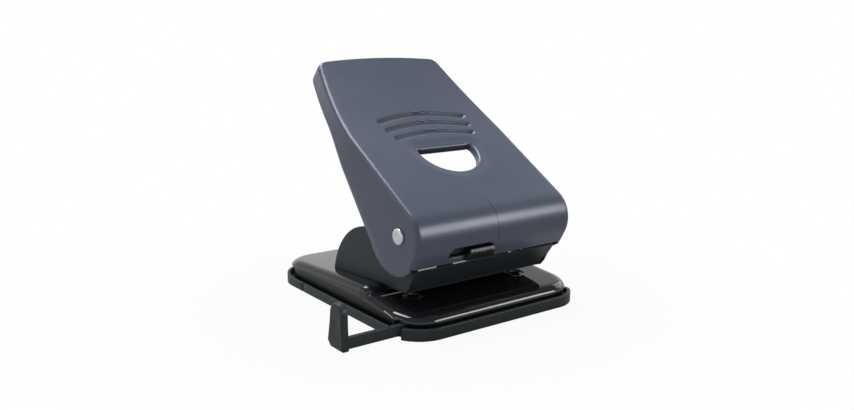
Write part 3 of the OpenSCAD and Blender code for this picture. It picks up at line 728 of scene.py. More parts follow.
@dataclass
class Deck:
    """The pressed deck: a sloping paper table, a raised plateau behind it, a rounded edge and a skirt."""

    plan: RoundedRectangle = RoundedRectangle(65.0, -75.0, 75.0, 20.0)
    table_z: float = 16.0
    table_fall: float = 4.6
    step_y: float = -30.0
    step_h: float = 4.5
    fall: float = 3.3
    thickness: float = 2.0
    skirt_z: tuple[float, float] = (8.0, 12.7)
    edge_across: float = 6.3
    edge_down: float = 4.1
    front_corner: float = 6.2
    foot_blend: float = 3.0
    hole_x: float = 40.0
    hole_y: float = -43.0
    hole_r: float = 3.08
    groove_deep: float = 0.45
    mouth_deep: float = 0.25

    def table(self, y: Array) -> Array:
        """Height of the paper table, which rises to the rear and then runs on under the plateau."""
        sloped = self.table_z - math.tan(math.radians(self.table_fall)) * (self.step_y - y)
        return np.minimum(sloped, self.plateau(y) - self.step_h)

    def plateau(self, y: "Array | float") -> "Array | float":
        """Height of the plateau, which falls to the rear from its crest."""
        crest = self.step_y + self.edge_across + 0.4
        return self.table_z + self.step_h - math.tan(math.radians(self.fall)) * (y - crest)

    def hem(self, y: "Array | float") -> "Array | float":
        """Height of the deck's lower edge, which rises from the front to the middle of the sides."""
        low, high = self.skirt_z
        return low + (high - low) * smooth(y, -73.0, -45.0)

    def drop(self, inside: Array, inset: float) -> Array:
        """How far the rounded edge has fallen: down * (1 - sqrt(1 - (1 - inside / across)^2))."""
        x = np.clip(1 - (inside - inset) / (self.edge_across - inset), 0, 1)
        return (self.edge_down - inset) * (1 - np.sqrt(1 - x * x))

    def height(self, x: Array, y: Array, edge: Array, inset: float) -> Array:
        """Height of the outer face (inset 0) or the inner face (inset = thickness).

        The higher of table and plateau counts, with a small fillet between them. A shallow coined ring
        goes round each die hole.

        Args:
            x, y: plan places.
            edge: distance inside the deck's outline.
            inset: how far the face lies under the outer one.

        Returns:
            Heights in millimetres.
        """
        corner = self.plan.half_width - self.front_corner
        beyond, before = np.abs(x) - corner, self.step_y + self.front_corner - y
        round_in = self.front_corner - np.hypot(beyond, before)
        inside = np.where((beyond > 0) & (before > 0), round_in, np.minimum(edge, y - self.step_y))
        low = self.table(y) - inset - self.drop(edge, inset)
        high = self.plateau(y) - inset - self.drop(inside, inset) + 6 * np.minimum(inside - inset, 0)
        ring = np.hypot(np.abs(x) - self.hole_x, y - self.hole_y)
        groove = self.groove_deep * smooth(ring, 4.0, 4.6) * (1 - smooth(ring, 5.1, 5.9))
        coined = groove + self.mouth_deep * (1 - smooth(ring, 3.2, 3.9))
        return soft_max(low, high, self.foot_blend) - coined

    def build(self, enamel: bpy.types.Material) -> None:
        """Makes the deck with its two die bosses."""
        w, f, r = self.plan.core()
        xs = steps((-w, -33, 0.5), (-33, 33, 2.5), (33, w, 0.5))
        ys = steps((f, -51, 1), (-51, -35, 0.5), (-35, -31.5, 0.7), (-31.5, -22, 0.32), (-22, r, 2.5))
        core, way = self.plan.path(xs, ys, np.linspace(0, 1, 15))
        swing = np.radians(np.linspace(0, 90, 11))
        inner_edges = np.array([8.0, 10, 12, 14, 16, 17.5, 18.5, 19.3, self.plan.radius])
        faces = [grid_faces(2 + len(swing) + len(inner_edges), len(core), True)]
        count = len(core) * (2 + len(swing) + len(inner_edges))
        gx, gy = (g.reshape(-1) for g in np.meshgrid(xs, ys))
        faces.append(grid_faces(len(ys), len(xs)) + count)
        plans, shells = [], []
        for inset in (0.0, self.thickness):
            bend = inset + (self.edge_across - inset) * (1 - np.cos(swing))
            edge = np.concatenate([[inset, inset], bend, inner_edges])
            rim = core[None] + (self.plan.radius - edge)[:, None, None] * way[None]
            flat = np.concatenate([rim.reshape(-1, 2), np.stack([gx, gy], axis=1)])
            border = np.minimum(w - np.abs(gx), np.minimum(gy - f, r - gy))
            plans.append(flat)
            shells.append(np.concatenate([np.repeat(edge, len(core)), self.plan.radius + border]))
        every = np.concatenate(faces)
        rest = len(plans[0]) - 2 * len(core)
        row = np.r_[np.repeat([0, 1], len(core)), np.full(rest, 1)]
        first, every = weld(np.column_stack([plans[0], row]), every)
        level = np.r_[np.repeat([0.0, 0.5], len(core)), np.ones(rest)][first]
        outer, inner = (p[first] for p in plans)
        edge_out, edge_in = (s[first] for s in shells)
        for side in (-1, 1):
            hole = arc((side * self.hole_x, self.hole_y), self.hole_r, 0, 360, 73)[:-1]
            outer, every, rim = cut_sheet(outer, every, hole, 0.5)
            inner[rim] = outer[rim]
        top = self.height(outer[:, 0], outer[:, 1], edge_out, 0.0)
        under = self.height(inner[:, 0], inner[:, 1], edge_in, self.thickness)
        hem_out, hem_in = self.hem(outer[:, 1]), self.hem(inner[:, 1])
        top = hem_out + (top - hem_out) * level
        under = hem_in + (under - hem_in) * level
        shell = sheet(np.column_stack([outer, top]), np.column_stack([inner, under]), every, 0.3)
        z = float(self.table(np.array(self.hole_y))) - self.thickness
        bore = self.hole_r
        boss = [(bore, z - 1.3), (bore + 0.2, z - 1.5), (5.7, z - 1.5), (6.0, z - 1.2), (6.0, z + 0.2),
                (bore, z + 0.2)]
        bosses = [placed(lathe(boss, ring=True), (0, 0, 1), (s * self.hole_x, self.hole_y, 0))
                  for s in (-1, 1)]
        publish("deck_pressing", [shell, *bosses], enamel, Body.BASE, ["base_plate"])


@dataclass
class Tray:
    """The chip tray with its seat for the deck, and the flap that is its hinged rear end."""

    deck: Deck
    plan: RoundedRectangle = RoundedRectangle(67.6, -78.9, 78.0, 21.5)
    seat: RoundedRectangle = RoundedRectangle(65.0, -75.0, 75.0, 20.0)
    rim_z: float = 7.1
    side_dip: float = 1.4
    floor: float = 1.6
    wall: float = 2.0
    cut: float = 40.5
    gap: float = 0.7
    notch: tuple[float, float] = (-67.0, -58.0)

    def turns(self) -> Array:
        """Corner samples, with close pairs at both ends of the notch for the guide."""
        _, f, _ = self.plan.core()
        ends = [math.degrees(math.asin((f - y) / self.plan.radius)) / 90 for y in self.notch]
        pairs = [e + d for e in ends for d in (-0.003, 0.003)]
        return np.unique(np.concatenate([np.linspace(0, 1, 15), pairs]))

    def in_notch(self, places: Array) -> Array:
        """Whether places in plan lie in the left side's notch for the guide."""
        return (places[:, 0] < -50) & (places[:, 1] > self.notch[0]) & (places[:, 1] < self.notch[1])

    def pan(self, run: Run) -> Part:
        """Floor and wall of the front or the rear part.

        Args:
            run: Run.FRONT for the tray, Run.REAR for the flap.

        Returns:
            The closed shell.
        """
        w, f, r = self.plan.core()
        lo, hi = (f, self.cut - self.gap / 2) if run is Run.FRONT else (self.cut + self.gap / 2, r)
        xs, ys = steps((-w, w, 6)), steps((lo, hi, 5))
        core, way = self.plan.path(xs, ys, self.turns(), run)
        big = self.plan.radius
        low, side = self.floor, self.wall
        out = np.array([(big, 0), (4, 0), (0.6, 0), (0.25, 0.07), (0.07, 0.25), (0, 0.6), (0, 4), (0, 6),
                        (0, self.rim_z)])
        inn = np.array([(big, low), (4.4, low), (3.2, 1.65), (2.5, 1.85), (2.15, 2.3), (side, 3),
                        (side, 4.4), (side, 6), (side, self.rim_z)])
        gx, gy = (g.reshape(-1) for g in np.meshgrid(xs, ys))
        shells = []
        for profile, base in ((out, 0.0), (inn, self.floor)):
            dip = self.side_dip * smooth(np.abs(way[:, 0]), 0.8, 1.0)
            z = profile[:, 1][:, None] - dip * smooth(profile[:, 1], 3.0, self.rim_z)[:, None]
            edge = core + big * way
            cut = self.in_notch(edge)
            z = np.where(cut, np.minimum(z, self.floor), z)
            inset = np.where(cut, np.maximum(profile[:, :1], 4.5), profile[:, :1])
            flat = core[None] + (big - inset)[..., None] * way[None]
            shells.append(np.concatenate([np.concatenate([flat, z[..., None]], axis=-1).reshape(-1, 3),
                                          np.column_stack([gx, gy, 0 * gx + base])]))
        ring_points = len(out) * len(core)
        walls, bottom = grid_faces(len(out), len(core)), grid_faces(len(ys), len(xs)) + ring_points
        faces = [walls[:, ::-1], bottom[:, ::-1]]
        key = shells[0].copy()
        key[:, 2] = np.r_[np.repeat(np.arange(len(out)), len(core)), np.zeros(len(gx))]
        first, every = weld(key, np.concatenate(faces))
        return sheet(shells[0][first], shells[1][first], every, 0.55)

    def seat_ring(self) -> Part:
        """The ring set back under the deck, a closed section carried round the seat; it is dark because it
        gets near-black plastic as painted shade in the gap under the deck's skirt.
        """
        w, f, r = self.seat.core()
        xs, ys = steps((-w, w, 8)), steps((f, self.cut - 0.1, 8), (self.cut + 0.1, r, 8))
        core, way = self.seat.path(xs, ys, self.turns())
        low = np.where((core + way * self.seat.radius)[:, 1] < self.cut, self.floor - 0.02, self.floor + 1.4)
        section = [(1.6, 0.0), (1.6, 1.0), (3.5, 1.0), (3.5, 1.2), (5.8, 1.2), (6, 1), (5, 1), (5, 0.0),
                   (1.6, 0.0)]
        points = []
        for inset, share in section:
            flat = core + (self.seat.radius - inset) * way
            top = self.deck.hem(flat[:, 1]) + 0.3
            z = low + (top - low) * min(share, 1) + max(share - 1, 0) * 6
            cut = self.in_notch(flat)
            points.append(np.column_stack([flat, np.where(cut, self.floor, z)]))
        return welded(np.concatenate(points), grid_faces(len(section), len(core), True))

    def build(self, plastic: bpy.types.Material, dark: bpy.types.Material) -> None:
        """Makes the tray, its seat for the deck, and the flap."""
        # Painted shade: the seat ring takes the near-black slider plastic so that the gap between the deck's
        # skirt and the tray's rim reads dark.
        publish("deck_seat", [self.seat_ring()], dark, Body.BASE, ["chip_tray"], sharp=50)
        publish("chip_tray_moulding", [self.pan(Run.FRONT)], plastic, Body.BASE, ["chip_tray"],
                sharp=50)
        snap = block((-8, 75, 1.5), (8, 76, 4.6))
        ribs = [block((x - 0.75, self.cut + 2.2, 1.5), (x + 0.75, self.cut + 18.2, 2.6)) for x in (-30, 30)]
        publish("chip_flap_moulding", [self.pan(Run.REAR), snap, *ribs], plastic, Body.FLAP,
                ["chip_flap"], sharp=50)


@dataclass
class Guide:
    """The paper guide: a graduated bar with an upright stop at its left end."""

    y: float = -64.0
    thick: float = 3.0
    z: float = 2.0
    high: float = 6.5
    left: float = -102.0
    right: float = 30.0
    stop_t: float = 4.5
    mark_deep: float = 0.25
    notch_deep: float = 0.3

    def bar(self) -> Part:
        """The bar: a rounded section carried along X, with cut marks in front and click notches behind.

        The section's points are swept along stations of X. A point of the front face moves in where a mark
        is near, a point of the rear face where a notch is.
        """
        t, h, r = self.thick / 2, self.high / 2, 0.35
        zs = np.linspace(-h + r, h - r, 11)
        quarter = np.radians(np.array([22.5, 45, 67.5]))
        bend = np.stack([np.cos(quarter), np.sin(quarter)], axis=1) * r
        front = np.stack([0 * zs - t, zs[::-1]], axis=1)
        rear = np.stack([0 * zs + t, zs], axis=1)
        lower = np.stack([-t + r - bend[:, 0], -h + r - bend[:, 1]], axis=1)
        lower = np.concatenate([lower, [[-t + r, -h], [t - r, -h]], (np.array([-1, 1]) * lower)[::-1]])
        upper = -lower
        loop = np.concatenate([front, lower, rear, upper])
        marks = np.arange(self.left + 12, self.right - 6, 5.0)
        near = (marks[:, None] + np.array([-0.7, -0.5, -0.28, -0.18, 0, 0.18, 0.28, 0.5, 0.7])).reshape(-1)
        start = self.left + 2.5
        stations = np.concatenate([[start, start + 0.3], near, [self.right - 0.35, self.right]])
        x = np.unique(np.round(stations, 4))
        gap = np.abs(x[:, None] - marks).min(axis=1)
        tall = loop[:, 1][None, :]
        mark = self.mark_deep * (1 - smooth(gap, 0.16, 0.3))[:, None]
        notch = self.notch_deep * (1 - smooth(gap, 0.45, 0.68))[:, None]
        cut = mark * smooth(tall, -0.3, -0.1) * (loop[:, 0] < -t + 0.05)
        cut = cut - notch * (np.abs(tall) < h - 0.6) * (loop[:, 0] > t - 0.05)
        scale = np.where(x >= self.right, 0.8, 1.0)[:, None]
        body = np.stack([x[:, None] + 0 * tall, self.y + loop[:, 0] * scale + cut,
                         self.z + h + tall * scale], axis=-1)
        ends = [np.tile([x[k], self.y, self.z + h], (1, len(loop), 1)) for k in (0, -1)]
        points = np.concatenate([ends[0], body, ends[1]]).reshape(-1, 3)
        return welded(points, grid_faces(len(x) + 2, len(loop), True))

    def stop(self) -> Part:
        """The stop: a domed upright with soft edges, a flat outer face and a finger hollow."""
        foot = self.y - self.thick / 2
        low = np.array([[foot, 0.8], [foot + 4, 0.8], [foot + 8, 0.8], [foot + 12.4, 0.8],
                        [foot + 15.2, 3.6], [foot + 14.5, 7.8], [foot + 13.8, 12], [foot + 13.1, 16.4]])
        dome = arc((foot + 6.5, 20.6), 5.9, 0, 180, 33)
        back = np.array([[foot + 0.45, 16], [foot + 0.3, 11], [foot + 0.15, 6]])
        outline = np.concatenate([low, dome, back])
        a, b, e = self.left, self.left + self.stop_t, 0.9
        swing = np.radians([0, 22.5, 45, 67.5, 90])
        edge = [(e * (1 - math.sin(t)), a + e * (1 - math.cos(t))) for t in swing]
        face = [(r, a) for r in (1e3, 6.5, 6, 5.5, 5, 4.5, 4, 3.4, 2.8, 2.2, 1.6, 1.2)]
        far = [(r, a + b - h) for r, h in reversed(edge)]
        plan, x, faces = pillow(outline, (foot + 6.8, 14.5), [*face, *edge, *far, (2.5, b), (1e3, b)])
        hollow = np.hypot(plan[:, 0] - foot - 6.8, plan[:, 1] - 14.5)
        x = x + np.where(x <= a + 1e-6, 0.35 * (1 - smooth(hollow, 1.5, 5.2)), 0)
        return welded(np.column_stack([x, plan]), faces)

    def build(self, plastic: bpy.types.Material) -> None:
        """Makes the guide."""
        publish("paper_guide_bar", [self.bar(), self.stop()], plastic, Body.GUIDE, ["paper_guide"])


@dataclass
class Frame:
    """The painted frame: two cheeks, their feet, the lower web and the front apron."""

    deck: Deck
    pivot: tuple[float, float] = (-54.7, 55.5)
    inner: float = 51.0
    thick: float = 2.0
    boss: float = 14.0
    web_z: float = 21.0
    big: tuple[float, float, float] = (-16.7, 10.0, 42.2)
    foot: tuple[float, float] = (-23.4, 24.0)
    rivet_x: float = 46.0
    rivets: tuple[float, float] = (-17.0, 14.0)

    def outline(self) -> Array:
        """Outline of a cheek in (Y, Z): a big arc from the rear foot, the round boss, and the front edge."""
        cy, cz, r = self.big
        py, pz = self.pivot
        y = np.linspace(20, 27, 400)
        rear = y[np.argmin(np.abs(np.hypot(y - cy, self.deck.plateau(y) - cz) - r))]
        start = math.degrees(math.atan2(self.deck.plateau(rear) - cz, rear - cy))
        end = math.degrees(math.atan2(52.9 - cz, -24 - cy))
        big = arc((cy, cz), r, start, end, 60)
        fillet = np.array([[-27.0, 53.4], [-32, 57.0], [-38, 60.8], [-41.5, 62.7]])
        boss = arc((py, pz), self.boss, 36, 218, 60)
        front = np.array([[-64.5, 43], [-63.6, 39], [-61.6, 33.4], [-59.2, 28.5], [-57, 24.4], [-53.9, 21],
                          [-48, 20.95], [-37, 20.9], [-26.4, 20.8]])
        sole = np.array([[t, self.deck.plateau(t)] for t in np.linspace(self.foot[0], rear - 1.5, 16)])
        return np.concatenate([big, fillet, boss, front, sole])

    def build(self, paint: bpy.types.Material, steel: bpy.types.Material, bright: bpy.types.Material) -> None:
        """Makes the frame, the upper guide plate, and the rivets that hold both."""
        outline = self.outline()
        py, pz = self.pivot
        parts, feet = [], []
        for s in (-1, 1):
            lo, hi = sorted((s * self.inner, s * (self.inner + self.thick)))
            parts.append(along_x(plate(outline, (-34.0, 40.0), lo, hi, 0.45)))
            lo, hi = sorted((s * 41.0, s * (self.inner + 0.5)))
            front, rear = self.foot
            corners = ((front, 0), (rear, 0), (rear, self.thick), (front, self.thick))
            feet.append(self.slab(lo, hi, [(y, self.deck.plateau(y) + up) for y, up in corners]))
        publish("frame_cheeks", parts, paint, Body.BASE, ["punch_frame"])
        apron = [(-54.17, 21.73), (-64.8, 36.6), (-64.65, 36.87), (-63.1, 35.97), (-52.38, 22.58)]
        reach = self.inner + self.thick - 0.1
        publish("frame_web", [self.web(), self.slab(-reach, reach, apron), *feet], paint, Body.BASE,
                ["punch_frame"], bevel=0.2)
        tabs = [block((min(s * 49, s * 51), -48, 35.5), (max(s * 49, s * 51), -38, 43)) for s in (-1, 1)]
        top = block((-self.inner, py + 3, 42.5), (self.inner, py + 20, 44.5))
        publish("upper_guide", [top, *tabs], steel, Body.BASE, ["upper_guide_plate"], bevel=0.35)
        head = [(0, -3.2), (2.9, -3.2), (3.3, -3.0), (3.4, -2.6), (3.4, -2.0), (2, -2.0), (2, 2.0), (3.4, 2.0),
                (3.42, 2.25), (3.25, 2.7), (2.85, 3.05), (2.3, 3.3), (1.5, 3.5), (0.8, 3.58), (0, 3.6)]
        tilt = (0, math.sin(math.radians(self.deck.fall)), math.cos(math.radians(self.deck.fall)))
        rivets = [placed(lathe(head), tilt, (s * self.rivet_x, y, self.deck.plateau(y)))
                  for s in (-1, 1) for y in self.rivets]
        publish("foot_rivets", rivets, bright, Body.BASE, ["frame_rivets"])
        side = [(0, -3), (1.9, -3), (2.5, -2.8), (2.6, -2.5), (2.6, -2), (1.5, -2), (1.5, 2), (2.6, 2),
                (2.6, 2.5), (2.4, 2.85), (1.9, 3.0), (0, 3.05)]
        studs = [placed(lathe(side, count=32), (s, 0, 0), (s * self.inner, self.deck.hole_y, 39.0))
                 for s in (-1, 1)]
        publish("guide_rivets", studs, bright, Body.BASE, ["guide_plate_rivets"])

    def web(self) -> Part:
        """The level web between the cheeks, with a hole for each pin."""
        xs = steps((-self.inner - 0.5, -35, 1.5), (-35, 35, 5), (35, self.inner + 0.5, 1.5))
        ys = steps((self.pivot[0] + 1, self.pivot[0] + 28, 1.5))
        plan = np.stack(np.meshgrid(xs, ys), axis=-1).reshape(-1, 2)
        faces = grid_faces(len(ys), len(xs))
        for side in (-1, 1):
            hole = arc((side * self.deck.hole_x, self.deck.hole_y), self.deck.hole_r, 0, 360, 49)[:-1]
            plan, faces, _ = cut_sheet(plan, faces, hole, 0.8)
        level = np.full((len(plan), 1), self.web_z)
        return sheet(np.hstack([plan, level + self.thick]), np.hstack([plan, level]), faces, 0.2)

    @staticmethod
    def slab(lo: float, hi: float, outline: Sequence[tuple[float, float]]) -> Part:
        """A slab along X with a drawn outline in (Y, Z)."""
        n = len(outline)
        flat = np.array(outline)
        points = np.concatenate([np.column_stack([np.full(n, x), flat]) for x in (lo, hi)])
        k = np.arange(n)
        sides = np.stack([k, (k + 1) % n, (k + 1) % n + n, k + n], axis=1)
        return Part(points, sides, [k[::-1].tolist(), (k + n).tolist()])


@dataclass
class Axle:
    """The cross axle with its upset heads, and the two spacers on it."""

    y: float = -54.7
    z: float = 55.5
    radius: float = 3.5
    lever_w: float = 116.0

    def build(self, bright: bpy.types.Material, steel: bpy.types.Material) -> None:
        """Makes the axle and the spacers."""
        a = self.lever_w / 2 + 0.05
        side = [(self.radius, a), (4.55, a), (4.8, a + 0.2), (4.8, a + 0.9), (4.62, a + 1.25), (4.2, a + 1.5),
                (3.4, a + 1.7), (2.4, a + 1.82),
                (1.5, a + 1.86), (1.15, a + 1.8), (0.9, a + 1.66), (0, a + 1.6)]
        profile = [(r, -h) for r, h in reversed(side)] + side
        turned = placed(lathe(profile, count=72), (1, 0, 0), (0, self.y, self.z))
        publish("cross_axle", [turned], bright, Body.BASE, ["pivot_axle"])
        ring = [(3.55, 53.15), (3.75, 53.05), (6.2, 53.05), (6.5, 53.3), (6.5, 56.2), (6.2, 56.45),
                (3.75, 56.45), (3.55, 56.3)]
        for name, s in (("left", -1), ("right", 1)):
            spacer = placed(lathe(ring, ring=True), (s, 0, 0), (0, self.y, self.z))
            publish(f"spacer_{name}", [spacer], steel, Body.BASE, [f"axle_spacer_{name}"])


@dataclass
class PunchUnit:
    """One punch pin with its return spring, which presses up on the seat under the clip."""

    side: int
    body: Body
    x: float = 40.0
    y: float = -43.0
    radius: float = 3.0
    tip: float = 21.4
    hollow_r: float = 4.4
    top: float = 55.52
    coil_r: float = 4.25
    wire_r: float = 0.45
    turns: int = 7
    end_pitch: float = 1.4
    low: float = 23.55
    high: float = 39.85

    def pin(self) -> Part:
        """The pin: turned about Z, its tip hollowed by a cylinder along Y so that two points cut first."""
        r, t = self.radius, self.top
        tip = [(across, self.tip) for across in (0, 0.8, 1.6, 2.3, r)]
        profile = [*tip, (r, self.tip + 1.5), (r, 41.35), (r - 0.6, 41.4), (r - 0.6, 42.4), (r, 42.45),
                   (r, t - 2), (r + 0.8, t - 2), (r + 1, t - 1.8), (r + 1, t - 0.35), (r + 0.65, t), (0, t)]
        part = lathe(profile, count=48)
        depth = np.sqrt(np.maximum(self.hollow_r ** 2 - part.points[:, 0] ** 2, 0)) - 3.6
        at_tip = part.points[:, 2] < self.tip + 0.1
        part.points[:, 2] += np.where(at_tip, np.maximum(depth, 0), 0)
        return part

    def coil(self) -> Part:
        """The spring: a wire section carried along a helix, its end turns closer than the middle ones.

        Place: (R + w cos b) out + (z + w sin b) up, where z grows with the turn and out points from the axis.
        """
        t = np.linspace(0, self.turns, self.turns * 32 + 1)
        z = np.interp(t, [0, 1, self.turns - 1, self.turns],
                      [self.low, self.low + self.end_pitch, self.high - self.end_pitch, self.high])
        b = np.linspace(0, 2 * np.pi, 12, endpoint=False)
        wire = np.r_[0, np.full(len(t), self.wire_r), 0]
        t, z = np.r_[t[0], t, t[-1]], np.r_[z[0], z, z[-1]]
        reach = self.coil_r + wire[:, None] * np.cos(b)
        angle = 2 * np.pi * t[:, None]
        points = np.stack([self.side * self.x + reach * np.cos(angle), self.y + reach * np.sin(angle),
                           z[:, None] + wire[:, None] * np.sin(b)], axis=-1).reshape(-1, 3)
        return welded(points, grid_faces(len(t), len(b), True))

    def build(self, steel: bpy.types.Material, wire: bpy.types.Material) -> None:
        """Makes the pin, and the spring that shortens as the pin goes down."""
        name = "left" if self.side < 0 else "right"
        pin = placed(self.pin(), (0, 0, 1), (self.side * self.x, self.y, 0))
        publish(f"pin_{name}", [pin], steel, self.body, [f"punch_pin_{name}"])
        spring = publish(f"spring_{name}", [self.coil()], wire, Body.BASE,
                         [f"return_spring_{name}"])
        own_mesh(spring)


@dataclass
class Lever:
    """The pressed lever: one sheet over a curved grip, a straight top, a round nose and a flat front panel.

    Along its middle section run L millimetres from the tip; across it run q millimetres from the middle,
    first over the flat top, then round the fold and down the flange.
    """

    pivot: tuple[float, float] = (-54.7, 55.5)
    width: float = 116.0
    tip_w: float = 94.5
    skin: float = 1.5
    top_slope: float = 30.4
    tip_slope: float = 42.8
    top_off: float = 16.5
    panel_off: float = 18.7
    panel_dir: float = 209.2
    fold: float = 2.6
    flange_min: float = 13.0
    nose_r: float = 18.0
    arc_len: float = 71.5
    tip_r: float = 3.5
    bow: float = 3.0
    bow_len: float = 14.0
    straight: float = 66.0
    panel_end: float = 9.4
    rear_a: tuple[float, float] = (-24.7, 47.0)
    rear_slope: float = 51.6
    end_c: tuple[float, float] = (-48.7, 56.5)
    end_r: float = 25.4
    end_angles: tuple[float, float] = (-114.0, -127.5)
    window: tuple[float, float, float, float] = (3.1, 50.6, 20.8, 20.2)
    window_corner: float = 3.0
    window_cut: float = 54.4
    grooves: tuple[float, ...] = (53.5, 62.5, 71.3)
    halves: tuple[float, ...] = (32.0, 31.0, 29.0)
    groove_x: float = 2.5
    groove_r: float = 100.0
    groove_back: float = 97.5
    slot: tuple[tuple[float, float], ...] = (
        (-35.0, 5.2), (-31.8, -1.6), (-5.5, -1.6), (-2.4, 0.4), (-2.0, 5.2))
    window_lip: float = 2.0
    window_dish: float = 0.8
    groove_deep: float = 1.6

    def __post_init__(self) -> None:
        """Works out the frame of directions and the lengths at which the stretches of the profile meet."""
        def way(angle: float) -> Array:
            """Unit vector in (Y, Z)."""
            return np.array([math.cos(math.radians(angle)), math.sin(math.radians(angle))])
        self.p = np.array(self.pivot)
        self.u, self.v = way(self.top_slope), way(self.top_slope + 90)
        self.n, self.t = way(self.panel_dir), way(self.panel_dir + 90)
        a, b = self.top_off - self.nose_r, self.panel_off - self.nose_r
        det = self.v[0] * self.n[1] - self.v[1] * self.n[0]
        self.nose_c = self.p + np.array([a * self.n[1] - b * self.v[1], b * self.v[0] - a * self.n[0]]) / det
        self.nose_u = float((self.nose_c - self.p) @ self.u)
        self.nose_t = float((self.nose_c - self.p) @ self.t)
        self.arc_r = self.arc_len / math.radians(self.tip_slope - self.top_slope)
        self.arc_c = self.p + self.u * self.straight + self.v * (self.top_off + self.arc_r)
        self.l_nose = self.arc_len + self.straight - self.nose_u
        self.l_panel = self.l_nose + self.nose_r * math.radians(self.panel_dir - self.top_slope - 90)
        self.l_end = self.l_panel + self.panel_end - self.nose_t
        self.u_end = float((np.array(self.rear_a) - self.p) @ self.u)
        self.l_rear = self.arc_len + self.straight - self.u_end

    def l_at_u(self, u: "Array | float") -> "Array | float":
        """L of a place u up the straight top; the same sum gives the u of an L."""
        return self.arc_len + self.straight - u

    def l_at_t(self, t: "Array | float") -> "Array | float":
        """L of a place t down the front panel."""
        return self.l_panel + t - self.nose_t

    def slope(self, length: Array) -> Array:
        """Slope of the top in degrees, falling evenly over the curved grip."""
        return self.tip_slope - (self.tip_slope - self.top_slope) * np.clip(length / self.arc_len, 0, 1)

    def profile(self, length: Array) -> tuple[Array, Array]:
        """Middle section in (Y, Z).

        Args:
            length: distances L from the tip.

        Returns:
            The (n, 2) points of the outer face and the (n, 2) directions into the sheet.
        """
        s = np.radians(self.slope(length) - 90)
        grip_in = np.stack([np.cos(s), np.sin(s)], axis=1)
        grip = self.arc_c + grip_in * self.arc_r
        u = self.l_at_u(length)
        top = self.p + u[:, None] * self.u + self.top_off * self.v
        a = np.radians(self.top_slope + 90) + (length - self.l_nose) / self.nose_r
        nose_out = np.stack([np.cos(a), np.sin(a)], axis=1)
        nose = self.nose_c + self.nose_r * nose_out
        t = length - self.l_panel + self.nose_t
        panel = self.p + t[:, None] * self.t + self.panel_off * self.n
        zones = [length[:, None] < end for end in (self.arc_len, self.l_nose, self.l_panel)]
        return (np.select(zones, [grip, top, nose], panel),
                np.select(zones, [grip_in, -self.v + 0 * top, -nose_out], -self.n + 0 * panel))

    def flange_end(self, length: Array, point: Array, into: Array) -> Array:
        """Free edge of the flange in (Y, Z).

        At the tip it lies 9 + 0.4 L under the top; over the handle on the line through rear_a at
        rear_slope, but never less than flange_min under the top; below rear_a on a circle about end_c.

        Args:
            length: distances L.
            point: the profile's points.
            into: the directions into the sheet.

        Returns:
            The (n, 2) places of the edge.
        """
        a = math.radians(self.rear_slope)
        rear_n = np.array([math.sin(a), -math.cos(a)])
        lean = into @ rear_n
        line = -((point - np.array(self.rear_a)) @ rear_n) / np.where(np.abs(lean) < 0.05, 0.05, lean)
        depth = soft_max(np.full(len(length), self.flange_min), line, 5.0)
        depth = np.where(length < 5, self.flange_min - 2 + 0.4 * length, depth)
        start = math.degrees(math.atan2(self.rear_a[1] - self.end_c[1], self.rear_a[0] - self.end_c[0]))
        nose = self.l_nose + (self.l_panel - self.l_nose) * np.arange(1, 10) / 9
        marks = np.r_[self.l_rear, self.l_at_u(14.0), self.l_at_u(6.0), self.l_nose, nose,
                      self.l_at_t(4.0), self.l_at_t(7.0), self.l_end]
        angles = np.r_[start + (self.end_angles[0] - start) * np.arange(15) / 14, self.end_angles[1]]
        turn = np.radians(np.interp(length, marks, angles))
        low = np.array(self.end_c) + self.end_r * np.stack([np.cos(turn), np.sin(turn)], axis=1)
        return np.where(length[:, None] < self.l_rear, point + into * depth[:, None], low)

    def half(self, length: Array) -> Array:
        """Half the width at L, with the tip's corners rounded."""
        taper = (self.width - self.tip_w) * np.maximum(0, 1 - length / self.arc_len) ** 1.5
        rest = np.maximum(self.tip_r - length, 0)
        corner = 2 * (self.tip_r - np.sqrt(np.maximum(self.tip_r ** 2 - rest ** 2, 0)))
        return (self.width - taper - corner) / 2

    def place(self, q: Array, length: Array, depth: Array) -> Array:
        """The sheet's surface.

        With f = half - fold: |q| < f lies on the flat top; the next quarter turn of the fold's radius bends
        down; what is left runs straight to the flange's free edge. The tip's middle is pushed out by its bow.

        Args:
            q: distances across.
            length: distances L.
            depth: distances under the outer face.

        Returns:
            (n, 3) places.
        """
        point, into = self.profile(length)
        flat = self.half(length) - self.fold
        reach = np.abs(q)
        turn = np.clip((reach - flat) / self.fold, 0, np.pi / 2)
        x = np.minimum(reach, flat) + np.where(reach > flat, (self.fold - depth) * np.sin(turn), 0)
        down = self.fold - (self.fold - depth) * np.cos(turn)
        start = point + into * self.fold
        run = self.flange_end(length, point, into) - start
        beyond = np.maximum(reach - flat - self.fold * np.pi / 2, 0)
        share = beyond / np.maximum(np.linalg.norm(run, axis=1), 1e-6)
        s = np.radians(self.slope(length))
        tipward = np.stack([np.cos(s), np.sin(s)], axis=1)
        near_tip = np.maximum(0, 1 - length / self.bow_len) ** 2
        near_middle = np.maximum(0, 1 - (2 * x / self.tip_w) ** 2)
        push = self.bow * near_tip * near_middle * (share < 1e-9)
        flat_place = point + into * down[:, None] + share[:, None] * run + push[:, None] * tipward
        return np.column_stack([np.sign(q) * x, flat_place])

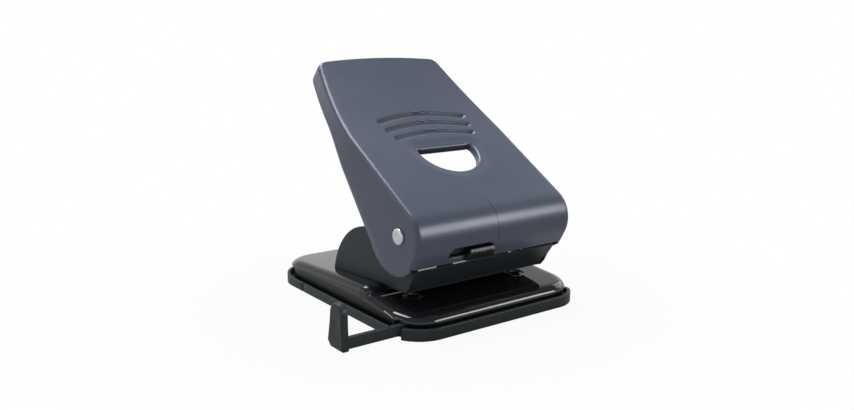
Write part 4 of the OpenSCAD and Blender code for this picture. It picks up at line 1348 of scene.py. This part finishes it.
    def window_outline(self, grow: float) -> Array:
        """Outline of the window in (x, u): an ellipse cut by a line, corners rounded, grown by an offset."""
        cx, cu, rx, ry = self.window
        corner, top = self.window_corner, self.window_cut
        inset = np.array([rx - corner, ry - corner])
        angle = math.asin((top - corner - cu) / inset[1])
        turn = np.linspace(-math.pi - angle, angle, 150)
        core = np.array([cx, cu]) + inset * np.stack([np.cos(turn), np.sin(turn)], axis=1)
        out = np.stack([np.cos(turn) * inset[1], np.sin(turn) * inset[0]], axis=1)
        out /= np.linalg.norm(out, axis=1, keepdims=True)
        big = core + out * (corner + grow)
        lean = math.degrees(math.atan2(out[-1, 1], out[-1, 0]))
        right = arc(core[-1], corner + grow, lean, 90, 14)
        left = arc(core[0], corner + grow, 90, 180 - lean, 14)
        return np.concatenate([big, right[1:], left[:-1]])

    def pressed(self, x: Array, length: Array) -> Array:
        """Depth of the grip grooves and of the dish round the window."""
        total = np.zeros(len(x))
        for s, half in zip(self.grooves, self.halves):
            a, b, r = x - self.groove_x, s - length + self.groove_back, self.groove_r
            limit = math.asin(half / r)
            turn = np.clip(np.arctan2(a, b), -limit, limit)
            gap = np.hypot(a - r * np.sin(turn), b - r * np.cos(turn))
            tipward = smooth(np.hypot(a, b), r - 1, r + 1)
            wall = tipward * smooth(gap, 1.7, 2.7) + (1 - tipward) * smooth(gap, 0.9, 2.9)
            total += self.groove_deep * (1 - wall) * (np.abs(s - length) < 15)
        u = self.l_at_u(length)
        near = (np.abs(x - self.window[0]) < 32) & (np.abs(u - self.window[1]) < 32)
        gap = np.full(len(x), 50.0)
        gap[near] = nearest(np.stack([x, u], axis=1)[near], self.window_outline(0))[1]
        return total + self.window_dish * (1 - smooth(gap, 1.5, 8.0))

    def shell(self) -> Part:
        """The whole sheet with the window drawn in and the lock slot cut."""
        rows = np.unique(np.concatenate([[0, 0.12, 0.35, 0.7, 1.2, 1.9, 2.7, 3.5], steps(
            (3.5, 46, 1.7), (46, 77.5, 0.36), (77.5, 112, 0.55), (112, self.l_nose, 2),
            (self.l_nose, self.l_panel, 1.0), (self.l_panel, self.l_end, 0.46))]))
        rows = rows[rows <= self.l_end + 1e-9]
        rows[-1] = self.l_end
        full = self.width / 2 - self.fold
        flat = steps((-full, -36, 1.5), (-36, 37, 0.75), (37, full, 1.5)) / full
        point, into = self.profile(rows)
        run = np.linalg.norm(self.flange_end(rows, point, into) - point - into * self.fold, axis=1)
        f = (self.half(rows) - self.fold)[:, None]
        bend = self.fold * np.pi / 2
        swing = bend * np.linspace(0, 1, 8)[1:]
        drop = np.linspace(0, 1, 8)[1:]
        right = np.concatenate([f + swing, f + bend + run[:, None] * drop], axis=1)
        q = np.concatenate([-right[:, ::-1], f * flat, right], axis=1)
        faces = grid_faces(len(rows), q.shape[1])
        plan = np.stack([q, rows[:, None] + 0 * q], axis=-1).reshape(-1, 2)
        lip = self.window_lip
        hole = self.window_outline(lip)
        hole = np.stack([hole[:, 0], self.l_at_u(hole[:, 1])], axis=1)
        plan, faces, rim = cut_sheet(plan, faces, hole, 0.62)
        slot = np.array([(x, float(self.l_at_t(t))) for x, t in self.slot])
        plan, faces, _ = cut_sheet(plan, faces, slot, 0.46)
        sunk = self.pressed(plan[:, 0], plan[:, 1]) * (np.abs(plan[:, 0]) < full)
        outer = self.place(plan[:, 0], plan[:, 1], sunk)
        inner = self.place(plan[:, 0], plan[:, 1], sunk + self.skin)
        ring = free_edges(faces, len(plan))
        ring = ring[np.isin(ring, rim).all(axis=1)]
        ids = np.unique(ring)
        start = plan[ids]
        here = np.stack([start[:, 0], self.l_at_u(start[:, 1])], axis=1)
        goal, _ = nearest(here, self.window_outline(0))
        way = (goal - here) / np.linalg.norm(goal - here, axis=1, keepdims=True)
        base = self.pressed(start[:, 0], start[:, 1])
        outers, inners, strips = [outer], [inner], [faces]
        previous = ring
        near = lip - self.skin
        stations = [(lip * math.sin(a), lip - lip * math.cos(a), near * math.sin(a), lip - near * math.cos(a))
                    for a in np.radians([15, 30, 45, 60, 75, 90])]
        stations += [(lip, deep, near, deep) for deep in (3.5, 5.0)]
        total = len(plan)
        for out_by, out_deep, in_by, in_deep in stations:
            for store, by, deep in ((outers, out_by, out_deep), (inners, in_by, in_deep)):
                spot = here + way * by
                store.append(self.place(spot[:, 0], self.l_at_u(spot[:, 1]), base + deep))
            following = total + np.searchsorted(ids, ring)
            sides = [previous[:, 1], previous[:, 0], following[:, 0], following[:, 1]]
            strips.append(np.stack(sides, axis=1))
            previous = following
            total += len(ids)
        return sheet(np.concatenate(outers), np.concatenate(inners), np.concatenate(strips), 0.4)

    def build(self, enamel: bpy.types.Material) -> None:
        """Makes the lever's shell."""
        publish("lever_pressing", [self.shell()], enamel, Body.LEVER, ["lever_shell"], sharp=50)


@dataclass
class Lock:
    """The lock slider: a plate behind the front panel with a knob through the slot and a tongue below."""

    lever: Lever
    plate_r: tuple[float, float] = (14.9, 16.5)
    knob: tuple[tuple[float, float], ...] = ((-22.6, 7.4), (-20.2, 0.2), (-2.9, 0.2), (-0.7, 7.4))
    neck: tuple[tuple[float, float], ...] = ((-19.6, 4.9), (-18.2, 0.4), (-3.2, 0.9), (-2.4, 4.9))
    ridge: float = 1.4
    length: float = 52.0
    high: float = 10.8

    def on_panel(self, x: Array, t: Array, r: Array) -> Array:
        """Places from x, t down the panel and r outwards from the pivot."""
        flat = self.lever.p + t[:, None] * self.lever.t + r[:, None] * self.lever.n
        return np.column_stack([x, flat])

    def skin(self, outline: Array, centre: Sequence[float], stations: Sequence[tuple[float, float]]) -> Part:
        """A closed skin over an outline on the panel."""
        plan, height, faces = pillow(outline, centre, stations)
        return welded(self.on_panel(plan[:, 0], plan[:, 1], height), faces)

    def build(self, plastic: bpy.types.Material) -> None:
        """Makes the slider."""
        top = self.lever.panel_off
        share = np.linspace(0, 1, 9)[:-1, None]

        def walk(corners: Sequence[tuple[float, float]]) -> Array:
            """The outline through some corners, with points between them."""
            c = np.array(corners)
            return np.concatenate([a + (b - a) * share for a, b in zip(c, np.roll(c, -1, axis=0))])

        plan, height, faces = pillow(walk(self.knob), (-11.7, 3.8), [
            (1e3, top + 0.25), (0.3, top + 0.25), (0, top + 0.45), (0, top + 1.5), (0.1, top + 1.9),
            (0.35, top + 2.2), (0.8, top + 2.4), (1.6, top + 2.45), (2.4, top + 2.45), (1e3, top + 2.45)])
        above = np.maximum(plan[:, 1] - self.ridge, 0)
        slope = top + 0.7 + 1.9 * smooth(plan[:, 1], 0.0, self.ridge + 0.3) - 0.16 * above
        points = self.on_panel(plan[:, 0], plan[:, 1], np.minimum(height, np.maximum(slope, top + 0.4)))
        knob = welded(points, faces)
        neck_low, neck_top = self.plate_r[1] - 0.1, top + 0.6
        neck = self.skin(walk(self.neck), (-12.0, 2.8), [
            (1e3, neck_low), (0, neck_low), (0, neck_top), (1e3, neck_top)])
        k0, low = -37.0, -2.4
        k1, high = k0 + self.length, low + self.high
        base = walk([(k0, low), (k1, low), (k1, high), (k0, high)])
        r0, r1 = self.plate_r
        mid = (k0 + self.length / 2, low + self.high / 2)
        panel = self.skin(base, mid, [
            (1e3, r0), (0.3, r0), (0.05, r0 + 0.15), (0, r0 + 0.4), (0, r1 - 0.3), (0.1, r1 - 0.1), (0.4, r1),
            (1e3, r1)])
        publish("lock_knob", [knob, neck, panel, self.tongue()], plastic, Body.LOCK,
                ["lock_slider"])

    def tongue(self) -> Part:
        """The tongue under the plate, which stands over the catch when the lever is closed."""
        box = block((-22.0, -15.6, -0.55), (-12.0, -9.8, 1.45))
        a = math.radians(40)
        y, z = box.points[:, 1].copy(), box.points[:, 2].copy()
        box.points[:, 1] = self.lever.p[0] + y * math.cos(a) - z * math.sin(a)
        box.points[:, 2] = self.lever.p[1] + y * math.sin(a) + z * math.cos(a)
        return box


# ---------------------------------------------------------------- studio


@dataclass
class Studio:
    """Floor, world, lamps and camera."""

    lens: float = 35.873
    place: tuple[float, float, float] = (-0.31867186, -0.42972804, 0.17319803)
    right: tuple[float, float, float] = (0.8023436253974332, -0.596822048852606, 0.00693893273355873)
    up: tuple[float, float, float] = (0.12186922799557932, 0.17519471984325358, 0.9769619754150134)
    fill: float = 0.25

    def camera(self) -> None:
        """The camera at the photograph's place; its Z axis is right x up."""
        data = bpy.data.cameras.new("camera")
        data.lens, data.sensor_width, data.clip_start = self.lens, 36.0, 0.01
        eye = bpy.data.objects.new("camera", data)
        bpy.context.scene.collection.objects.link(eye)
        right, up = Vector(self.right), Vector(self.up)
        back = right.cross(up)
        rows = [[right[k], up[k], back[k], self.place[k]] for k in range(3)]
        eye.matrix_world = Matrix(rows + [[0, 0, 0, 1]])
        bpy.context.scene.camera = eye

    def floor(self) -> None:
        """A wide pale floor: white to the camera, with the lamps' shadow kept round the object."""
        recipe = Recipe(bpy.data.materials.new("pale_floor"))
        matt = recipe.add("ShaderNodeBsdfDiffuse", {}, {"Color": (0.42, 0.42, 0.42)})
        white = recipe.add("ShaderNodeEmission", {}, {"Color": (1, 1, 1), "Strength": 1.0})
        place = recipe.add("ShaderNodeTexCoord", {}, {}, 3)
        far = recipe.add("ShaderNodeVectorMath", {"operation": "LENGTH"}, {0: place}, 1)
        fade = 1 - 0.08 * (1 - (far / 0.26).math("MINIMUM", 1.0))
        camera = recipe.add("ShaderNodeLightPath", {}, {}, 0)
        fade = fade * (0.35 + camera * 0.65)
        shader = recipe.add("ShaderNodeMixShader", {}, {0: recipe.seen() * fade, 1: matt, 2: white})
        recipe.add("ShaderNodeOutputMaterial", {}, {0: shader})
        mesh = bpy.data.meshes.new("floor")
        n = 3.0
        mesh.from_pydata([(-n, -n, 0), (n, -n, 0), (n, n, 0), (-n, n, 0)], [], [(0, 1, 2, 3)])
        mesh.materials.append(recipe.owner)
        floor = bpy.data.objects.new("floor", mesh)
        bpy.context.scene.collection.objects.link(floor)

    def world(self) -> None:
        """White to the camera; in reflections dimmer overhead and below; a low even fill for all else."""
        recipe = Recipe(bpy.data.worlds.new("studio"))
        way = recipe.add("ShaderNodeTexCoord", {}, {}, 0)
        rise = recipe.add("ShaderNodeSeparateXYZ", {}, {0: way}, 2)
        overhead = ((rise - 0.22) / 0.4).math("MAXIMUM", 0.0).math("MINIMUM", 1.0)
        below = rise < 0.02
        camera = recipe.add("ShaderNodeLightPath", {}, {}, 0)
        shown = 1 - (1 - camera) * (overhead * 0.7 + below * 0.2)
        strength = recipe.seen() * shown + (1 - recipe.seen()) * self.fill
        back = recipe.add("ShaderNodeBackground", {}, {0: (1, 1, 1), 1: strength})
        recipe.add("ShaderNodeOutputWorld", {}, {0: back})
        bpy.context.scene.world = recipe.owner

    @staticmethod
    def lamp(name: str, place: Sequence[float], target: Sequence[float], size: tuple[float, float],
             watts: float) -> bpy.types.Object:
        """A rectangular soft lamp that faces a target.

        Args:
            name: its name.
            place: its place in metres.
            target: what it faces.
            size: width and height in metres.
            watts: its power.

        Returns:
            The lamp.
        """
        data = bpy.data.lights.new(name, "AREA")
        data.shape, data.size, data.size_y, data.energy = "RECTANGLE", size[0], size[1], watts
        lamp = bpy.data.objects.new(name, data)
        lamp.location = place
        lamp.rotation_euler = (Vector(target) - Vector(place)).to_track_quat("-Z", "Y").to_euler()
        bpy.context.scene.collection.objects.link(lamp)
        return lamp

    def build(self) -> None:
        """Sets everything up."""
        self.floor()
        self.world()
        self.lamp("overhead_softbox", (0.0, 0.36, 0.95), (0, 0, 0.05), (0.6, 0.6), 10.5)
        self.lamp("right_softbox", (1.05, 0.10, 0.55), (0, 0, 0.05), (0.7, 0.5), 1.6)
        strip = self.lamp("front_strip", (0.55, -0.76, 0.43), (0, -0.05, 0.05), (0.50, 0.34), 4.8)
        strip.visible_diffuse = False
        self.lamp("side_softbox", (-0.95, 0.15, 0.60), (0, 0, 0.05), (0.5, 0.5), 0.7)
        self.camera()


def main() -> None:
    """Builds the studio and every sub-assembly."""
    logging.basicConfig(level=logging.INFO, format="%(name)s %(message)s")
    bpy.context.scene.view_settings.view_transform = "Standard"
    Studio().build()

    blue = Enamel(
        colour=(0.078, 0.093, 0.138), fleck=(0.178, 0.204, 0.286), roughness=0.34, metallic=0.10, coat=0.30,
        coat_roughness=0.28, peel=0.010, specular=0.22, seam=(48.0, 71.0)).make("blue_grey_enamel")
    black = Enamel(
        colour=(0.016, 0.018, 0.021), fleck=(0.024, 0.027, 0.032), roughness=0.3, metallic=0.0, coat=1.0,
        coat_roughness=0.05, peel=0.003, specular=0.0).make("gloss_black_enamel")
    paint = Enamel(
        colour=(0.028, 0.036, 0.045), fleck=(0.050, 0.060, 0.072), roughness=0.36, metallic=0.0, coat=0.0,
        coat_roughness=0.1, peel=0.008, specular=0.20).make("satin_frame_paint")
    grey = Moulded((0.033, 0.046, 0.050), 0.42, 0.02, 0.2).make("tray_plastic")
    dark = Moulded((0.027, 0.035, 0.039), 0.42, 0.012, 0.25)
    marked = Scaled(dark, -90.0, 5.0, 5.0, (0.10, 0.11, 0.12)).make("guide_plastic")
    # Near-black plastic: the lock slider's own colour, and also painted shade on the deck seat ring.
    slider = Moulded((0.006, 0.007, 0.007), 0.34, 0.01, 0.3).make("slider_plastic_and_seat_shade")
    channel = Moulded((0.012, 0.013, 0.014), 0.5, 0.015).make("channel_plastic")
    bright = Plated((0.74, 0.75, 0.76), 0.30, (1, 1, 1)).make("upset_steel")
    zinc = Plated((0.56, 0.57, 0.58), 0.36, (0.08, 1, 1)).make("zinc_plate")
    turned = Plated((0.66, 0.66, 0.67), 0.25, (1, 1, 9)).make("turned_steel")
    blued = Plated((0.03, 0.03, 0.033), 0.5, (1, 1, 1)).make("blackened_steel")

    deck = Deck()
    deck.build(black)
    # The tray's seat ring gets the slider plastic as painted shade.
    Tray(deck).build(grey, slider)
    Guide().build(marked)
    Frame(deck).build(paint, zinc, bright)
    Axle().build(bright, zinc)
    PunchUnit(-1, Body.PUNCH_LEFT).build(turned, turned)
    PunchUnit(1, Body.PUNCH_RIGHT).build(turned, turned)
    lever = Lever()
    lever.build(blue)
    Lock(lever).build(slider)
    dress(channel, "guide_channel")
    dress(blued, "guide_click_spring", "pin_clip_left", "pin_clip_right", "lock_catch", "lock_keeper",
          "lever_bracket")
    dress(zinc, "spring_seat_left", "spring_seat_right")


if __name__ == "__main__":
    main()
